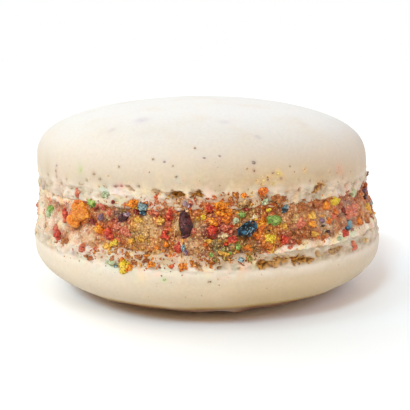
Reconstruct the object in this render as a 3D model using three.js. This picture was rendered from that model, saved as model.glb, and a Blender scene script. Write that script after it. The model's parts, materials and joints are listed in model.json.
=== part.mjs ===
// A French macaron standing on its lower shell: two domed almond meringue shells, each baked in one
// piece with the ruffled foot under its dome, round a disc of butter cream. The side of the cream is
// coated with a ring of coloured cereal crumbs.
// Millimetres, +Z up. The origin is on the table, under the middle of the lower shell.
import * as THREE from "three";

// Driving dimensions
const LOWER_WIDTH = 47.2; // across the lower shell at its widest
const UPPER_WIDTH = 44.4; // across the upper shell at its widest
const UPPER_SHIFT = -0.6; // the upper shell sits this far to the left of the lower one
const LOWER_DOME = 6.65; // from the table up to the widest ring of the lower dome
const UPPER_DOME = 8.95; // from the widest ring of the upper dome up to its crown
const LIP_TO_LIP = 8.6; // between the edges of the two domes
const LOWER_LIP_RISE = 1.1; // from the lower dome's widest ring up to its edge
const UPPER_LIP_DROP = 0.35; // from the upper dome's widest ring down to its edge
const FOOT_HEIGHT = 1.9; // height of each ruffled foot
const REST_RADIUS = 12.5; // flat spot that the lower dome stands on
const CROWN_SHIFT = -0.4; // the upper crown leans this far to the left of its own edge
const COAT_WIDTH = 45.8; // across the ring of crumbs
const COAT_THICKNESS = 1.9; // of the ring of crumbs
const GAP = 0.3; // clearance kept between two pieces that touch
const AROUND = 96; // facets round the macaron

// Heights above the table
const lowerLip = LOWER_DOME + LOWER_LIP_RISE;
const lowerFootTop = lowerLip + FOOT_HEIGHT;
const upperLip = lowerLip + LIP_TO_LIP;
const upperFootBottom = upperLip - FOOT_HEIGHT;
const fillingBottom = lowerFootTop + GAP;
const fillingTop = upperFootBottom - GAP;

// A sum of cosine waves round the macaron, each given as [waves, size, phase, lean with height].
const waves = (list) => (angle, height) =>
  list.reduce(
    (sum, [count, size, phase, lean]) =>
      sum + size * Math.cos(count * angle + phase + lean * height),
    0,
  );

// The dome is a little out of round, and the foot is ruffled by finer waves that lean and cross.
const domeUnevenness = waves([
  [2, 0.1, 0.4, 0],
  [3, 0.08, 2.1, 0],
  [5, 0.05, 1.3, 0],
]);
const footRuffle = waves([
  [11, 0.1, 0.7, 0.9],
  [19, 0.12, 2.9, -1.4],
  [29, 0.14, 5.1, 2.3],
]);

// Numbers from 0 to 1 that look random but are the same on every run.
const scatter = (i, j) => {
  const wave = Math.sin(i * 127.1 + j * 311.7) * 43758.5453;
  return wave - Math.floor(wave);
};

// Turns [radius, height] pairs into the points of a profile.
const profileOf = (pairs) => pairs.map(([radius, height]) => new THREE.Vector2(radius, height));

// Spins a closed profile round the Z axis, then moves each point out or in by push(angle, point, i, j),
// where i counts round the macaron and j along the profile.
function spin(profile, push) {
  const geometry = new THREE.LatheGeometry(profile, AROUND);
  const position = geometry.getAttribute("position");
  for (let i = 0; i <= AROUND; i += 1) {
    const around = i % AROUND; // the seam's two edges meet exactly
    const angle = (around / AROUND) * Math.PI * 2;
    profile.forEach((point, j) => {
      const radius = point.x > 0 ? point.x + push(angle, point, around, j) : 0;
      position.setXYZ(
        i * profile.length + j,
        radius * Math.sin(angle),
        point.y,
        radius * Math.cos(angle),
      );
    });
  }
  geometry.rotateX(Math.PI / 2);
  return geometry;
}

// Half of a rounded dome, from its widest ring up: a quarter of a superellipse, where a smaller
// squareness bends the side up more sharply before the crown flattens out. The crown is cut level at
// flatRadius, and height is what is left under the cut.
function domeCurve({ radius, height, squareness, flatRadius }) {
  const steps = 11;
  const end = Math.acos(flatRadius / radius);
  const uncut = height / Math.sin(end) ** squareness;
  const pairs = [];
  for (let i = 0; i <= steps; i += 1) {
    const t = (i / steps) * end;
    pairs.push([radius * Math.cos(t), uncut * Math.sin(t) ** squareness]);
  }
  return pairs;
}

// One shell with its crown up. Its foot's flat underside is at height 0, the dome's edge is at
// FOOT_HEIGHT, and the dome's widest ring is lipDepth above its edge.
function shellGeometry({ radius, height, squareness, lipDepth, flatRadius }) {
  const footRadius = radius - 0.45;
  const grooveRadius = radius - 0.95; // between the foot and the dome's edge
  const foot = [
    [0, 0],
    [footRadius - 1.6, 0],
    [footRadius - 0.35, 0.12],
    [footRadius, 0.55],
    [footRadius - 0.05, 1.1],
    [grooveRadius, FOOT_HEIGHT - 0.3],
    [radius - 0.35, FOOT_HEIGHT],
  ];
  const widest = FOOT_HEIGHT + lipDepth;
  const dome = domeCurve({ radius, height, squareness, flatRadius }).map(([r, h]) => [r, h + widest]);
  const crown = [0, widest + height];
  const push = (angle, point) => {
    const inRuffle = point.y < FOOT_HEIGHT && point.x > footRadius - 1;
    const share = point.x / radius;
    return inRuffle ? footRuffle(angle, point.y) : share * domeUnevenness(angle, point.y);
  };
  return spin(profileOf([...foot, ...dome, crown]), push);
}

function lowerShell(material) {
  const geometry = shellGeometry({
    radius: LOWER_WIDTH / 2,
    height: LOWER_DOME,
    squareness: 0.92,
    lipDepth: LOWER_LIP_RISE,
    flatRadius: REST_RADIUS,
  });
  const mesh = new THREE.Mesh(geometry, material);
  mesh.name = "lower_shell";
  mesh.rotation.x = Math.PI; // crown down
  mesh.position.z = lowerFootTop;
  return mesh;
}

function upperShell(material) {
  const geometry = shellGeometry({
    radius: UPPER_WIDTH / 2,
    height: UPPER_DOME,
    squareness: 0.62,
    lipDepth: UPPER_LIP_DROP,
    flatRadius: 1.2,
  });
  const lean = new THREE.Matrix4().makeShear(0, 0, 0, 0, CROWN_SHIFT / UPPER_DOME, 0);
  geometry.applyMatrix4(lean);
  const mesh = new THREE.Mesh(geometry, material);
  mesh.name = "upper_shell";
  mesh.position.set(UPPER_SHIFT, 0, upperFootBottom);
  return mesh;
}

// The disc of butter cream that the crumbs are pressed onto.
function butterCream(material) {
  const radius = COAT_WIDTH / 2 - COAT_THICKNESS - GAP;
  const profile = profileOf([
    [0, fillingBottom],
    [radius, fillingBottom],
    [radius, fillingTop],
    [0, fillingTop],
  ]);
  const geometry = spin(profile, () => 0);
  const mesh = new THREE.Mesh(geometry, material);
  mesh.name = "butter_cream";
  return mesh;
}

// The ring of crumbs as one solid out to its rough outline: a flat inner wall and a bulging outer side.
function crumbCoat(material) {
  const outer = COAT_WIDTH / 2;
  const inner = outer - COAT_THICKNESS;
  const middle = (fillingBottom + fillingTop) / 2;
  const halfHeight = (fillingTop - fillingBottom) / 2;
  const bulge = 0.8; // how far the middle of the outer side stands proud of its edges
  const crumbSize = 0.7; // how far a crumb moves the outline in and out
  const steps = 8;
  const pairs = [
    [inner, fillingTop],
    [inner, fillingBottom],
  ];
  for (let j = 0; j <= steps; j += 1) {
    const rise = -Math.cos((j / steps) * Math.PI);
    pairs.push([outer - bulge * rise * rise, middle + halfHeight * rise]);
  }
  pairs.push(pairs[0]);
  const push = (angle, point, i, j) =>
    point.x > inner ? crumbSize * (scatter(i, j) - 0.5) : 0;
  const mesh = new THREE.Mesh(spin(profileOf(pairs), push), material);
  mesh.name = "crumb_coat";
  return mesh;
}

const shellMaterial = new THREE.MeshStandardMaterial({
  color: 0xf0e4d2,
  roughness: 0.65,
  metalness: 0,
});
const creamMaterial = new THREE.MeshStandardMaterial({
  color: 0xf3e3d3,
  roughness: 0.55,
  metalness: 0,
});
const crumbMaterial = new THREE.MeshStandardMaterial({
  color: 0xd9793f,
  roughness: 0.5,
  metalness: 0,
});

const macaron = new THREE.Group();
macaron.add(lowerShell(shellMaterial));
macaron.add(butterCream(creamMaterial));
macaron.add(crumbCoat(crumbMaterial));
macaron.add(upperShell(shellMaterial));

export default macaron;
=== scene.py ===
# %% [markdown]
# # A French macaron with a crumb-coated side
#
# The macaron is two almond meringue shells round a disc of butter cream. Its side was rolled in
# crushed, brightly coloured fruit cereal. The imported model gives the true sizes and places, and this
# lesson builds the surfaces that the eye sees round that frame: the shells with their baked feet, the
# bed of small crumbs, the loose crumbs on it, and the dust that they left on the shells.

# %% The frame
import json
import math

import bmesh
import bpy
import numpy as np
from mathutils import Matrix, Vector, noise
from mathutils.bvhtree import BVHTree

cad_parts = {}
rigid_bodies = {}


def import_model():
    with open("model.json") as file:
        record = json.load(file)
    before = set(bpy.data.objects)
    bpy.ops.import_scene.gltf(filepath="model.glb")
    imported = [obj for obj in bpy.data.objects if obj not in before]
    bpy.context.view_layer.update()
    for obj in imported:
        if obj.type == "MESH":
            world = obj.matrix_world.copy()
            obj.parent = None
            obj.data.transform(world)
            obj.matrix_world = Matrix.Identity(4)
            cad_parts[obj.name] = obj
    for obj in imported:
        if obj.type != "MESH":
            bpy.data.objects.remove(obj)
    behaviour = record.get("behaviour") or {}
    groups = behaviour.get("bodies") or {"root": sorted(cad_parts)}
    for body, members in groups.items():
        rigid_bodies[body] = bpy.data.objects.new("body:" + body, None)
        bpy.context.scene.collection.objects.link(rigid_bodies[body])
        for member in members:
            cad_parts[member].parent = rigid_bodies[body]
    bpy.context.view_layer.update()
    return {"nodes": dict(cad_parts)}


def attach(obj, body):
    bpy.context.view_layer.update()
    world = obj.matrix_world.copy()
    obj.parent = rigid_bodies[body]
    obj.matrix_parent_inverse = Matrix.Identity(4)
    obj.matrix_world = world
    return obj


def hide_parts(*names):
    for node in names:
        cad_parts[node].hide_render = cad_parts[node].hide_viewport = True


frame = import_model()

print("nodes:", sorted(frame["nodes"]))

# %% [markdown]
# ## Sizes
#
# Everything below is worked out from a few sizes in millimetres, the same ones that the solid model
# was made from. Blender works in metres, so one factor turns one into the other.

# %% Driving sizes
MM = 0.001
LOWER_WIDTH = 47.2
UPPER_WIDTH = 44.4
UPPER_SHIFT = -0.6
LOWER_DOME = 6.65
UPPER_DOME = 8.95
CROWN_SHIFT = -0.4
LIP_TO_LIP = 8.6
LOWER_LIP_RISE = 1.1
UPPER_LIP_DROP = 0.35
FOOT_HEIGHT = 1.9
REST_RADIUS = 12.5
UPPER_SQUARENESS = 0.62  # a smaller one bends the side up more sharply
LOWER_SQUARENESS = 0.92
CROWN_RADIUS = 1.2  # flat middle of the upper crown
GAP = 0.3  # clearance that the solid model keeps between its pieces

lower_lip = LOWER_DOME + LOWER_LIP_RISE
upper_lip = lower_lip + LIP_TO_LIP
lower_foot_top = lower_lip + FOOT_HEIGHT
upper_foot_bottom = upper_lip - FOOT_HEIGHT
crown_height = upper_lip + UPPER_LIP_DROP + UPPER_DOME
print(f"lips at {lower_lip:.2f} and {upper_lip:.2f} mm, crown at {crown_height:.2f} mm")

# %% [markdown]
# ## Camera
#
# The macaron is seen from just above the table, close enough for the near side of each shell to dip
# well below its far side. A camera about four and a half shell radii away gives that. The picture is
# square.
#
# Some crumbs and marks sit at places that are easiest to read in the picture. The two functions here
# turn a pixel into a ray, and a ray into a place on an upright cylinder round the macaron, given as
# an angle from the front, with plus to the right, and a height.

# %% Camera
PICTURE = 410  # pixels on each side
CAMERA_DISTANCE = 103.5  # mm from the point on the axis at LOOK_HEIGHT
CAMERA_ELEVATION = math.radians(10.9)
LOOK_HEIGHT = 11.39
AIM = Vector((-0.2, 0.0, 10.68))  # mm, what the middle of the picture shows
LENS = 65.15  # mm
SENSOR = 36.0  # mm

towards_camera = Vector((0, -math.cos(CAMERA_ELEVATION), math.sin(CAMERA_ELEVATION)))
eye = Vector((0, 0, LOOK_HEIGHT)) + towards_camera * CAMERA_DISTANCE
camera_data = bpy.data.cameras.new("camera")
camera_data.lens = LENS
camera_data.sensor_width = SENSOR
camera_data.clip_start = 0.005
camera_data.clip_end = 20
camera = bpy.data.objects.new("camera", camera_data)
bpy.context.scene.collection.objects.link(camera)
camera.location = eye * MM
camera.rotation_euler = (AIM - eye).to_track_quat("-Z", "Y").to_euler()
bpy.context.scene.camera = camera
bpy.context.view_layer.update()


def view_ray(x, y):
    """The direction, in the row frame, in which the camera sees a pixel of the picture."""
    scale = SENSOR / LENS / PICTURE
    seen = Vector(((x - PICTURE / 2) * scale, (PICTURE / 2 - y) * scale, -1))
    return (camera.rotation_euler.to_matrix() @ seen).normalized()


def place_on_side(x, y, radius, centre_x=0.0):
    """The angle in radians and the height in mm where a pixel's ray meets an upright cylinder."""
    ray = view_ray(x, y)
    start = eye - Vector((centre_x, 0, 0))
    a = ray.x ** 2 + ray.y ** 2
    b = start.x * ray.x + start.y * ray.y
    c = start.x ** 2 + start.y ** 2 - radius ** 2
    distance = (-b - math.sqrt(max(b * b - a * c, 0))) / a
    point = start + ray * distance
    return math.atan2(point.x, -point.y), point.z


# %% [markdown]
# ## Stage and light
#
# The picture is high-key: a white floor and a white background, with soft light from every side. The
# world is a room with glowing walls, the brightest at the back, and the front one warm. The lamps at
# the front are bluish. Together they make a neutral light on the macaron and the floor, and they leave
# a warm brown shadow close under the macaron. A wide window at the left makes that side the brighter
# one. What the camera sees beyond the floor is plain white.

# %% Colours and nodes
def srgb(hex_colour):
    """The linear colour of an sRGB hex value such as "f4e9dc"."""
    parts = [int(hex_colour[i:i + 2], 16) / 255 for i in (0, 2, 4)]
    linear = [p / 12.92 if p <= 0.04045 else ((p + 0.055) / 1.055) ** 2.4 for p in parts]
    return (*linear, 1.0)


def add_node(tree, kind, settings=None, links=None):
    """Adds a node. Settings are its properties and unlinked inputs, and links are its linked inputs."""
    node = tree.nodes.new(kind)
    for name, value in (settings or {}).items():
        if isinstance(name, int) or name in node.inputs:
            node.inputs[name].default_value = value
        else:
            setattr(node, name, value)
    for name, socket in (links or {}).items():
        tree.links.new(socket, node.inputs[name])
    return node


# %% World
WALLS = {  # the axis that a wall lies on and its end of it, strength, colour, and high or low
    "back": ("y", 1, 3.27, "ffffff", "high"),
    "front": ("y", -1, 4.3, "ffd29a", "high"),
    "right": ("x", 1, 1.18, "eef2fe", "high"),
    "low right": ("x", 1, 0.95, "f2f6ff", "low"),
}
WALL_FOOT = (0.12, 0.42)  # sines of the elevations between which the high walls set in
WALL_TOP = (0.6, 0.9)  # and between which they fade out

world = bpy.data.worlds.new("white room")
bpy.context.scene.world = world
world.use_nodes = True
tree = world.node_tree
tree.nodes.clear()


def calculate(tree, operation, first, second, clamp=False):
    """A Math node. Each argument is a socket or a number."""
    node = add_node(tree, "ShaderNodeMath", {"operation": operation, "use_clamp": clamp})
    for place, value in enumerate((first, second)):
        if isinstance(value, bpy.types.NodeSocket):
            tree.links.new(value, node.inputs[place])
        else:
            node.inputs[place].default_value = value
    return node.outputs[0]


def ramp(tree, value, low, high, start=0.0, end=1.0):
    """A smooth ramp from start, where the value is at low, to end, where it is at high."""
    settings = {"interpolation_type": "SMOOTHSTEP", "From Min": low, "From Max": high,
                "To Min": start, "To Max": end}
    return add_node(tree, "ShaderNodeMapRange", settings, {"Value": value}).outputs["Result"]


def wall_light(tree, axis, sign, height, strength, colour):
    """The light of one wall: brightest straight on, and only where height is above 0."""
    facing = calculate(tree, "MAXIMUM", calculate(tree, "MULTIPLY", axis, sign), 0.0)
    amount = calculate(tree, "MULTIPLY", calculate(tree, "POWER", facing, 2.0), height)
    amount = calculate(tree, "MULTIPLY", amount, strength)
    tinted = add_node(tree, "ShaderNodeVectorMath", {"operation": "SCALE", 0: srgb(colour)[:3]},
                      {"Scale": amount})
    return tinted.outputs["Vector"]


direction = add_node(tree, "ShaderNodeTexCoord").outputs["Generated"]
side, depth, up = add_node(tree, "ShaderNodeSeparateXYZ", links={"Vector": direction}).outputs
above_table = ramp(tree, up, *WALL_FOOT)
below_ceiling = ramp(tree, up, *WALL_TOP, 1.0, 0.0)
wall_height = calculate(tree, "MULTIPLY", above_table, below_ceiling)
low_height = calculate(tree, "SUBTRACT", 1.0, above_table)
room = add_node(tree, "ShaderNodeCombineXYZ").outputs["Vector"]
for axis, sign, strength, colour, part in WALLS.values():
    height = wall_height if part == "high" else low_height
    light = wall_light(tree, side if axis == "x" else depth, sign, height, strength, colour)
    both = add_node(tree, "ShaderNodeVectorMath", {"operation": "ADD"}, {0: room, 1: light})
    room = both.outputs["Vector"]
fill = add_node(tree, "ShaderNodeBackground", {"Strength": 1.0}, {"Color": room})
white = add_node(tree, "ShaderNodeBackground", {"Color": srgb("ffffff"), "Strength": 1.0})
path = add_node(tree, "ShaderNodeLightPath")
seen = add_node(tree, "ShaderNodeMixShader",
                links={0: path.outputs["Is Camera Ray"], 1: fill.outputs[0], 2: white.outputs[0]})
add_node(tree, "ShaderNodeOutputWorld", links={"Surface": seen.outputs[0]})

# %% Lamps
LAMPS = {  # degrees from the front, plus to the right, degrees up, strength, width in degrees, colour
    "lamp at the front left": (-25, 38, 1.55, 12, "b6e6ff"),
    "lamp at the left": (-55, 40, 0.75, 24, "b4e8ff"),
    "lamp at the front right": (25, 38, 0.6, 12, "86c6ff"),
    "window": (-90, 30, 1.18, 60, "ffdebc"),
    "back light": (-120, 45, 0.55, 40, "c8e8ff"),
}
LAMP_AWAY = 0.5  # metres, which makes no difference to the light of a sun lamp

for name, (azimuth, elevation, strength, spread, colour) in LAMPS.items():
    data = bpy.data.lights.new(name, "SUN")
    data.energy = strength
    data.angle = math.radians(spread)
    data.color = srgb(colour)[:3]
    lamp = bpy.data.objects.new(name, data)
    bpy.context.scene.collection.objects.link(lamp)
    turn, lift = math.radians(azimuth), math.radians(elevation)
    source = Vector((math.sin(turn) * math.cos(lift), -math.cos(turn) * math.cos(lift), math.sin(lift)))
    lamp.location = source * LAMP_AWAY
    lamp.rotation_euler = (-source).to_track_quat("-Z", "Y").to_euler()
print(len(WALLS), "walls and", len(LAMPS), "lamps")


# %% Floor
def finish_object(name, mesh, material=None):
    """Puts a mesh in the scene under that name, at the origin."""
    if material is not None:
        mesh.materials.clear()
        mesh.materials.append(material)
    mesh.name = name
    made = bpy.data.objects.new(name, mesh)
    bpy.context.scene.collection.objects.link(made)
    return made


FLOOR_RADIUS = 4.0  # metres, far past what the camera sees

floor_mesh = bpy.data.meshes.new("floor")
shape = bmesh.new()
bmesh.ops.create_circle(shape, cap_ends=True, segments=64, radius=FLOOR_RADIUS)
shape.to_mesh(floor_mesh)
shape.free()

card = bpy.data.materials.new("matt white card")  # uncoated board, which shows hardly any reflection
card.use_nodes = True
card_shader = card.node_tree.nodes["Principled BSDF"]
card_shader.inputs["Base Color"].default_value = srgb("fbfaf8")
card_shader.inputs["Roughness"].default_value = 0.9
card_shader.inputs["Specular IOR Level"].default_value = 0.1
floor = finish_object("floor", floor_mesh, card)

# %% View transform, so that white is shown as white
bpy.context.scene.view_settings.view_transform = "Standard"
bpy.context.scene.view_settings.look = "None"

# %% [markdown]
# ## Shells
#
# A macaron shell is a dollop of almond meringue that spread on the tray, grew a skin as it dried, and
# was then lifted by the steam below it. So it is a smooth dome over a foot of small burst bubbles and
# frills. Its outline could be spun with a Screw modifier, but here the rings of points are computed
# directly, because then each point can be pushed in or out by noise while its angle is known.
#
# A profile runs from the crown over the widest ring to the dome's lip, then down the foot and in to
# the middle of its underside. Heights are counted from the lip, plus towards the crown.

# %% Profile of a shell
SHELL_AROUND = 840  # points round each ring
DOME_RINGS = 62
FOOT_RINGS = 34
UNDERSIDE_RINGS = 4
LIP_TUCK = 0.02  # how far the lip lies inside the widest ring
FOOT_INSET = 0.05  # how far the foot's side lies inside the widest ring
LOWER_FOOT_SLOPE = 0.35  # how far the lower foot leans in towards its top
FOOT_ROUNDING = 0.3  # how far the foot's last edge is rounded off
RIM_CROWDING = 1.6  # a power that sets the dome's rings closer together towards its rim
LIP_END = 0.16  # the share of the foot's rings that turn round the lip
FOOT_START = 0.3  # the share of them past which the foot has its own radius


def smooth_step(low, high, value):
    """0 below low, 1 above high, and a smooth rise between them."""
    t = np.clip((value - low) / (high - low), 0, 1)
    return t * t * (3 - 2 * t)


def blend(first, second, share):
    """The first where share is 0, the second where it is 1, and a mix between."""
    return first * (1 - share) + second * share


def shell_profile(radius, dome, squareness, lip_depth, flat_radius, foot_slope):
    """Radii and heights along half of a shell's outline, from the crown to the middle of its underside."""
    end = math.acos(flat_radius / radius)
    uncut = dome / math.sin(end) ** squareness
    t = end * (1 - np.linspace(0, 1, DOME_RINGS)) ** RIM_CROWDING
    r = radius * np.cos(t)
    h = lip_depth + uncut * np.sin(t) ** squareness
    r = np.concatenate([[0], flat_radius * np.array([0.35, 0.7]), r])
    h = np.concatenate([[h[0]] * 3, h])
    s = np.linspace(0, 1, FOOT_RINGS)
    lip_turn = np.clip(s / LIP_END, 0, 1) * math.pi / 2
    lip_h = lip_depth * (1 - np.sin(lip_turn))
    lip_r = radius - LIP_TUCK * (1 - np.cos(lip_turn))
    down = np.clip((s - LIP_END) / (1 - LIP_END), 0, 1)
    foot_h = -FOOT_HEIGHT * down
    round_off = FOOT_ROUNDING * smooth_step(0.8, 1.0, down) ** 2
    foot_r = radius - FOOT_INSET - round_off - foot_slope * smooth_step(0.32, 1.0, down)
    foot_r = blend(lip_r, foot_r, smooth_step(LIP_END, FOOT_START, s))
    r = np.concatenate([r, foot_r[1:]])
    h = np.concatenate([h, (lip_h + foot_h)[1:]])
    under = np.linspace(1, 0, UNDERSIDE_RINGS + 1)[1:]
    r = np.concatenate([r, foot_r[-1] * under])
    h = np.concatenate([h, np.full(UNDERSIDE_RINGS, -FOOT_HEIGHT)])
    return r, h


def spun_points(r, h, around):
    """A grid of points: one row for each angle, one column for each point of the profile."""
    angle = np.arange(around) / around * 2 * math.pi
    x = np.sin(angle)[:, None] * r
    y = -np.cos(angle)[:, None] * r
    z = np.broadcast_to(h, x.shape)
    return angle, np.stack([x, y, z], axis=-1)


def field(function, points, size, seed):
    """The value of a noise function at each point, for features of about that size in mm."""
    shifted = points.reshape(-1, 3) / size + np.array([seed * 17.3, seed * 5.7, seed * 11.9])
    return np.array([function(Vector(p)) for p in shifted.tolist()]).reshape(points.shape[:-1])


def soft_noise(p):
    """Round bumps and hollows, between minus and plus 1."""
    return noise.noise(p)


def rough_noise(p):
    """The same with three finer layers on them, each about twice as fine as the last."""
    return noise.fractal(p, 0.9, 2.1, 4)


def cell_walls(p):
    """0 in the middle of a cell and rising to 1 at its walls."""
    nearest = noise.voronoi(p)[0]
    return min(nearest[0] / max(nearest[1], 1e-6), 1)


# %% Mesh from a grid of points
def add_layer(mesh, name, values):
    """Stores a number or a colour for each point of a mesh, as an attribute."""
    kind, key = ("FLOAT", "value") if values.ndim == 1 else ("FLOAT_COLOR", "color")
    attribute = mesh.attributes.new(name, kind, "POINT")
    attribute.data.foreach_set(key, values.astype(np.float32).ravel())


def grid_mesh(name, points, layers=None, poles=True):
    """A closed smooth mesh from a grid of points in mm, with each layer as an attribute of its points.

    A grid has one row for each angle. With poles, its first and last columns are one point each.
    """
    def flat(grid):
        width = grid.shape[2:]
        if not poles:
            return grid.reshape(-1, *width)
        inner = grid[:, 1:-1].reshape(-1, *width)
        return np.concatenate([inner, grid[:1, 0], grid[:1, -1]])

    around, along = points.shape[:2]
    columns = along - 2 if poles else along
    index = np.arange(around * columns).reshape(around, columns)
    beside = np.roll(index, -1, axis=0)
    if poles:
        sides = np.stack([index[:, :-1], beside[:, :-1], beside[:, 1:], index[:, 1:]], -1)
        first = np.full(around, around * columns)
        caps = [np.stack([first, beside[:, 0], index[:, 0]], -1),
                np.stack([first + 1, index[:, -1], beside[:, -1]], -1)]
    else:
        sides = np.stack([index, beside, np.roll(beside, -1, axis=1), np.roll(index, -1, axis=1)], -1)
        caps = []
    faces = sides.reshape(-1, 4).tolist()
    for cap in caps:
        faces += cap.tolist()
    mesh = bpy.data.meshes.new(name)
    mesh.from_pydata((flat(points) * MM).tolist(), [], faces)
    for layer, values in (layers or {}).items():
        add_layer(mesh, layer, flat(values))
    shape = bmesh.new()
    shape.from_mesh(mesh)
    bmesh.ops.recalc_face_normals(shape, faces=shape.faces)
    shape.to_mesh(mesh)
    shape.free()
    mesh.shade_smooth()
    triangles = sum(len(p.vertices) - 2 for p in mesh.polygons)
    print(f"{name}: {len(mesh.vertices)} points, {triangles} triangles")
    return mesh


# %% [markdown]
# ### What the oven does to the foot
#
# The foot is where the batter boiled out, so it is lumpy, with frills a millimetre or two long that
# run round the shell and pores where bubbles burst. In some places the dome's skin lifted off the
# foot and left a slot, and the dry crumb inside it browned. Its colour is also painted shade, darker
# the deeper the slot. Each slot on the near side has its place and size in the picture, and the
# function in the camera cell turns them into an angle and a height. A few more are spread round the
# back at random.

# %% Slots under the lips
UPPER_SLOTS = [  # x, y, width, height in pixels of the picture, tilt in degrees, depth in mm
    (131, 188.7, 8, 3, -25, 0.4),
    (156.4, 191.8, 11, 5, -20, 0.45),
    (170, 195.5, 12, 5, -20, 0.4),
    (178, 196.0, 14, 10, -25, 1.2),
    (197, 194.5, 13, 8.5, -10, 1.3),
    (299.5, 190, 3, 3, 40, 0.3),
    (319.5, 187.5, 14, 8, 28, 1.0),
]
LOWER_SLOTS = [
    (198.5, 266.5, 10, 5, -40, 0.8),
    (211.8, 263.7, 5, 4, -20, 0.5),
    (219, 268.5, 5, 3.5, 10, 0.4),
    (239.8, 268.8, 3, 3, 0, 0.4),
    (262.5, 264.5, 11, 11, 5, 1.1),
    (277, 262.5, 25, 8.5, 12, 0.9),
    (299, 259.8, 16, 9, 8, 1.2),
    (309, 260.3, 11, 6, -3, 1.0),
    (318.8, 254.5, 5, 6, 0, 0.3),
    (334.5, 251.0, 20, 6, 4, 0.4),
]
FAR_SLOTS = 10
FAR_SIDE = (70, 290)  # degrees from the front between which the far slots lie
FAR_SLOT_WIDTH = (0.5, 2.4)  # mm, as are the next two
FAR_SLOT_HEIGHT = (0.35, 0.8)
FAR_SLOT_DEPTH = (0.5, 1.1)
FAR_SLOT_TILT = 20  # degrees either way
NEAR_SIDE = 22  # mm from the axis to the side that faces the camera
near_scale = PICTURE * LENS / SENSOR / (CAMERA_DISTANCE - NEAR_SIDE)  # pixels per mm there


def slots_round(seen, radius, centre_x, seed, middle):
    """Every slot as angle, height, width, tallness, tilt and depth, in radians and mm."""
    slots = []
    for x, y, wide, tall, tilt, deep in seen:
        angle, height = place_on_side(x, y, radius, centre_x)
        slots.append((angle, height, wide / near_scale / math.cos(angle), tall / near_scale,
                      math.radians(tilt), deep))
    random = np.random.default_rng(seed)
    first, last = FAR_SIDE
    for number in range(FAR_SLOTS):
        angle = math.radians(first + (last - first) * (number + random.uniform(0.1, 0.9)) / FAR_SLOTS)
        wide = random.uniform(*FAR_SLOT_WIDTH)
        height = middle + random.uniform(-0.15, 0.15)
        tall = random.uniform(*FAR_SLOT_HEIGHT)
        tilt = math.radians(random.uniform(-FAR_SLOT_TILT, FAR_SLOT_TILT))
        slots.append((angle, height, wide, tall, tilt, random.uniform(*FAR_SLOT_DEPTH)))
    return slots


def wrap(angle):
    """An angle in radians brought to between minus and plus half a turn."""
    return (angle + math.pi) % (2 * math.pi) - math.pi


DOME_WAVES = [(2, 0.10, 0.4), (3, 0.08, 2.1), (5, 0.05, 1.3)]  # waves round it, size in mm, phase


def waves_round(angle):
    """How far out of round a dome is, in mm."""
    return sum(size * np.cos(count * angle + phase) for count, size, phase in DOME_WAVES)


# %% Relief of a shell
RIM = 2.6  # mm, how far in from its radius a shell is treated as its side
LUMP, FRILL, CURL = 1.3, 0.9, 0.45  # mm, sizes of the foot's unevenness from coarse to fine
PORE_CELL = 0.8  # mm between burst bubbles
PORE_PATCH = 2.5  # mm, size of the places that have them
DOME_SWELL, DOME_DENT = 9.0, 2.2  # mm, sizes of the dome's slow unevenness
LIP_WAVES = 6  # mm, radius of a circle through the noise that makes the lip wavy
UNDER_SWELL = 0.16  # mm, how uneven the lower dome is near the table
BLISTER = 0.3  # mm, a small swelling low on the near side of the lower dome
BLISTER_TURN = math.radians(12)
BLISTER_WIDTH = 1.1  # mm
BLISTER_HEIGHT = 0.82  # as a share of the way from the lip to the table


def shell_relief(points, r, h, radius, seed):
    """How far each point stands out in mm, and the patterns that the colours follow too."""
    rim = smooth_step(radius - RIM, radius - RIM + 1.0, r)
    on_foot = smooth_step(0.25, -0.45, h) * rim
    near_lip = np.exp(-(h / 1.1) ** 2) * rim
    on_side = smooth_step(radius * 0.55, radius * 0.9, r) * smooth_step(-0.8, 0.2, h)
    squashed = points * np.array([1, 1, 1.4])  # the foot's lumps are wider than they are tall
    lumps = field(soft_noise, squashed, LUMP, seed)
    frills = field(rough_noise, squashed, FRILL, seed + 1)
    fine = field(rough_noise, points * np.array([1, 1, 1.5]), CURL, seed + 3)
    pores = smooth_step(0.42, 0.12, field(cell_walls, points, PORE_CELL, seed + 5))
    some = smooth_step(-0.05, 0.3, field(soft_noise, points, PORE_PATCH, seed + 6))
    relief = on_foot * (0.24 * lumps + 0.12 * frills + 0.06 * fine - 0.14 * pores * some)
    relief = relief + near_lip * (0.10 * lumps + 0.04 * frills + 0.03 * fine)
    relief = relief + 0.10 * field(soft_noise, points, DOME_SWELL, seed + 7) * smooth_step(-1.0, 0.4, h)
    relief = relief + 0.03 * field(soft_noise, points, DOME_DENT, seed + 8) * on_side
    return relief, {"rim": rim, "on_foot": on_foot, "on_side": on_side, "frills": frills, "fine": fine,
                    "pores": pores, "some": some}


def lower_dome_relief(points, turn, r, h, on_side, seed):
    """What sets the lower dome apart: an uneven underside and a blister."""
    share = h / h.max()
    low = smooth_step(0.55, 0.8, share) * smooth_step(REST_RADIUS, REST_RADIUS + 3, r)
    relief = low * UNDER_SWELL * field(soft_noise, points, 3.2, seed + 12)
    relief = relief + 0.07 * on_side * field(soft_noise, points, 4.5, seed + 13)
    across = wrap(turn - BLISTER_TURN) * r / BLISTER_WIDTH
    return relief + BLISTER * np.exp(-across ** 2 - ((share - BLISTER_HEIGHT) / 0.1) ** 2)


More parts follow.
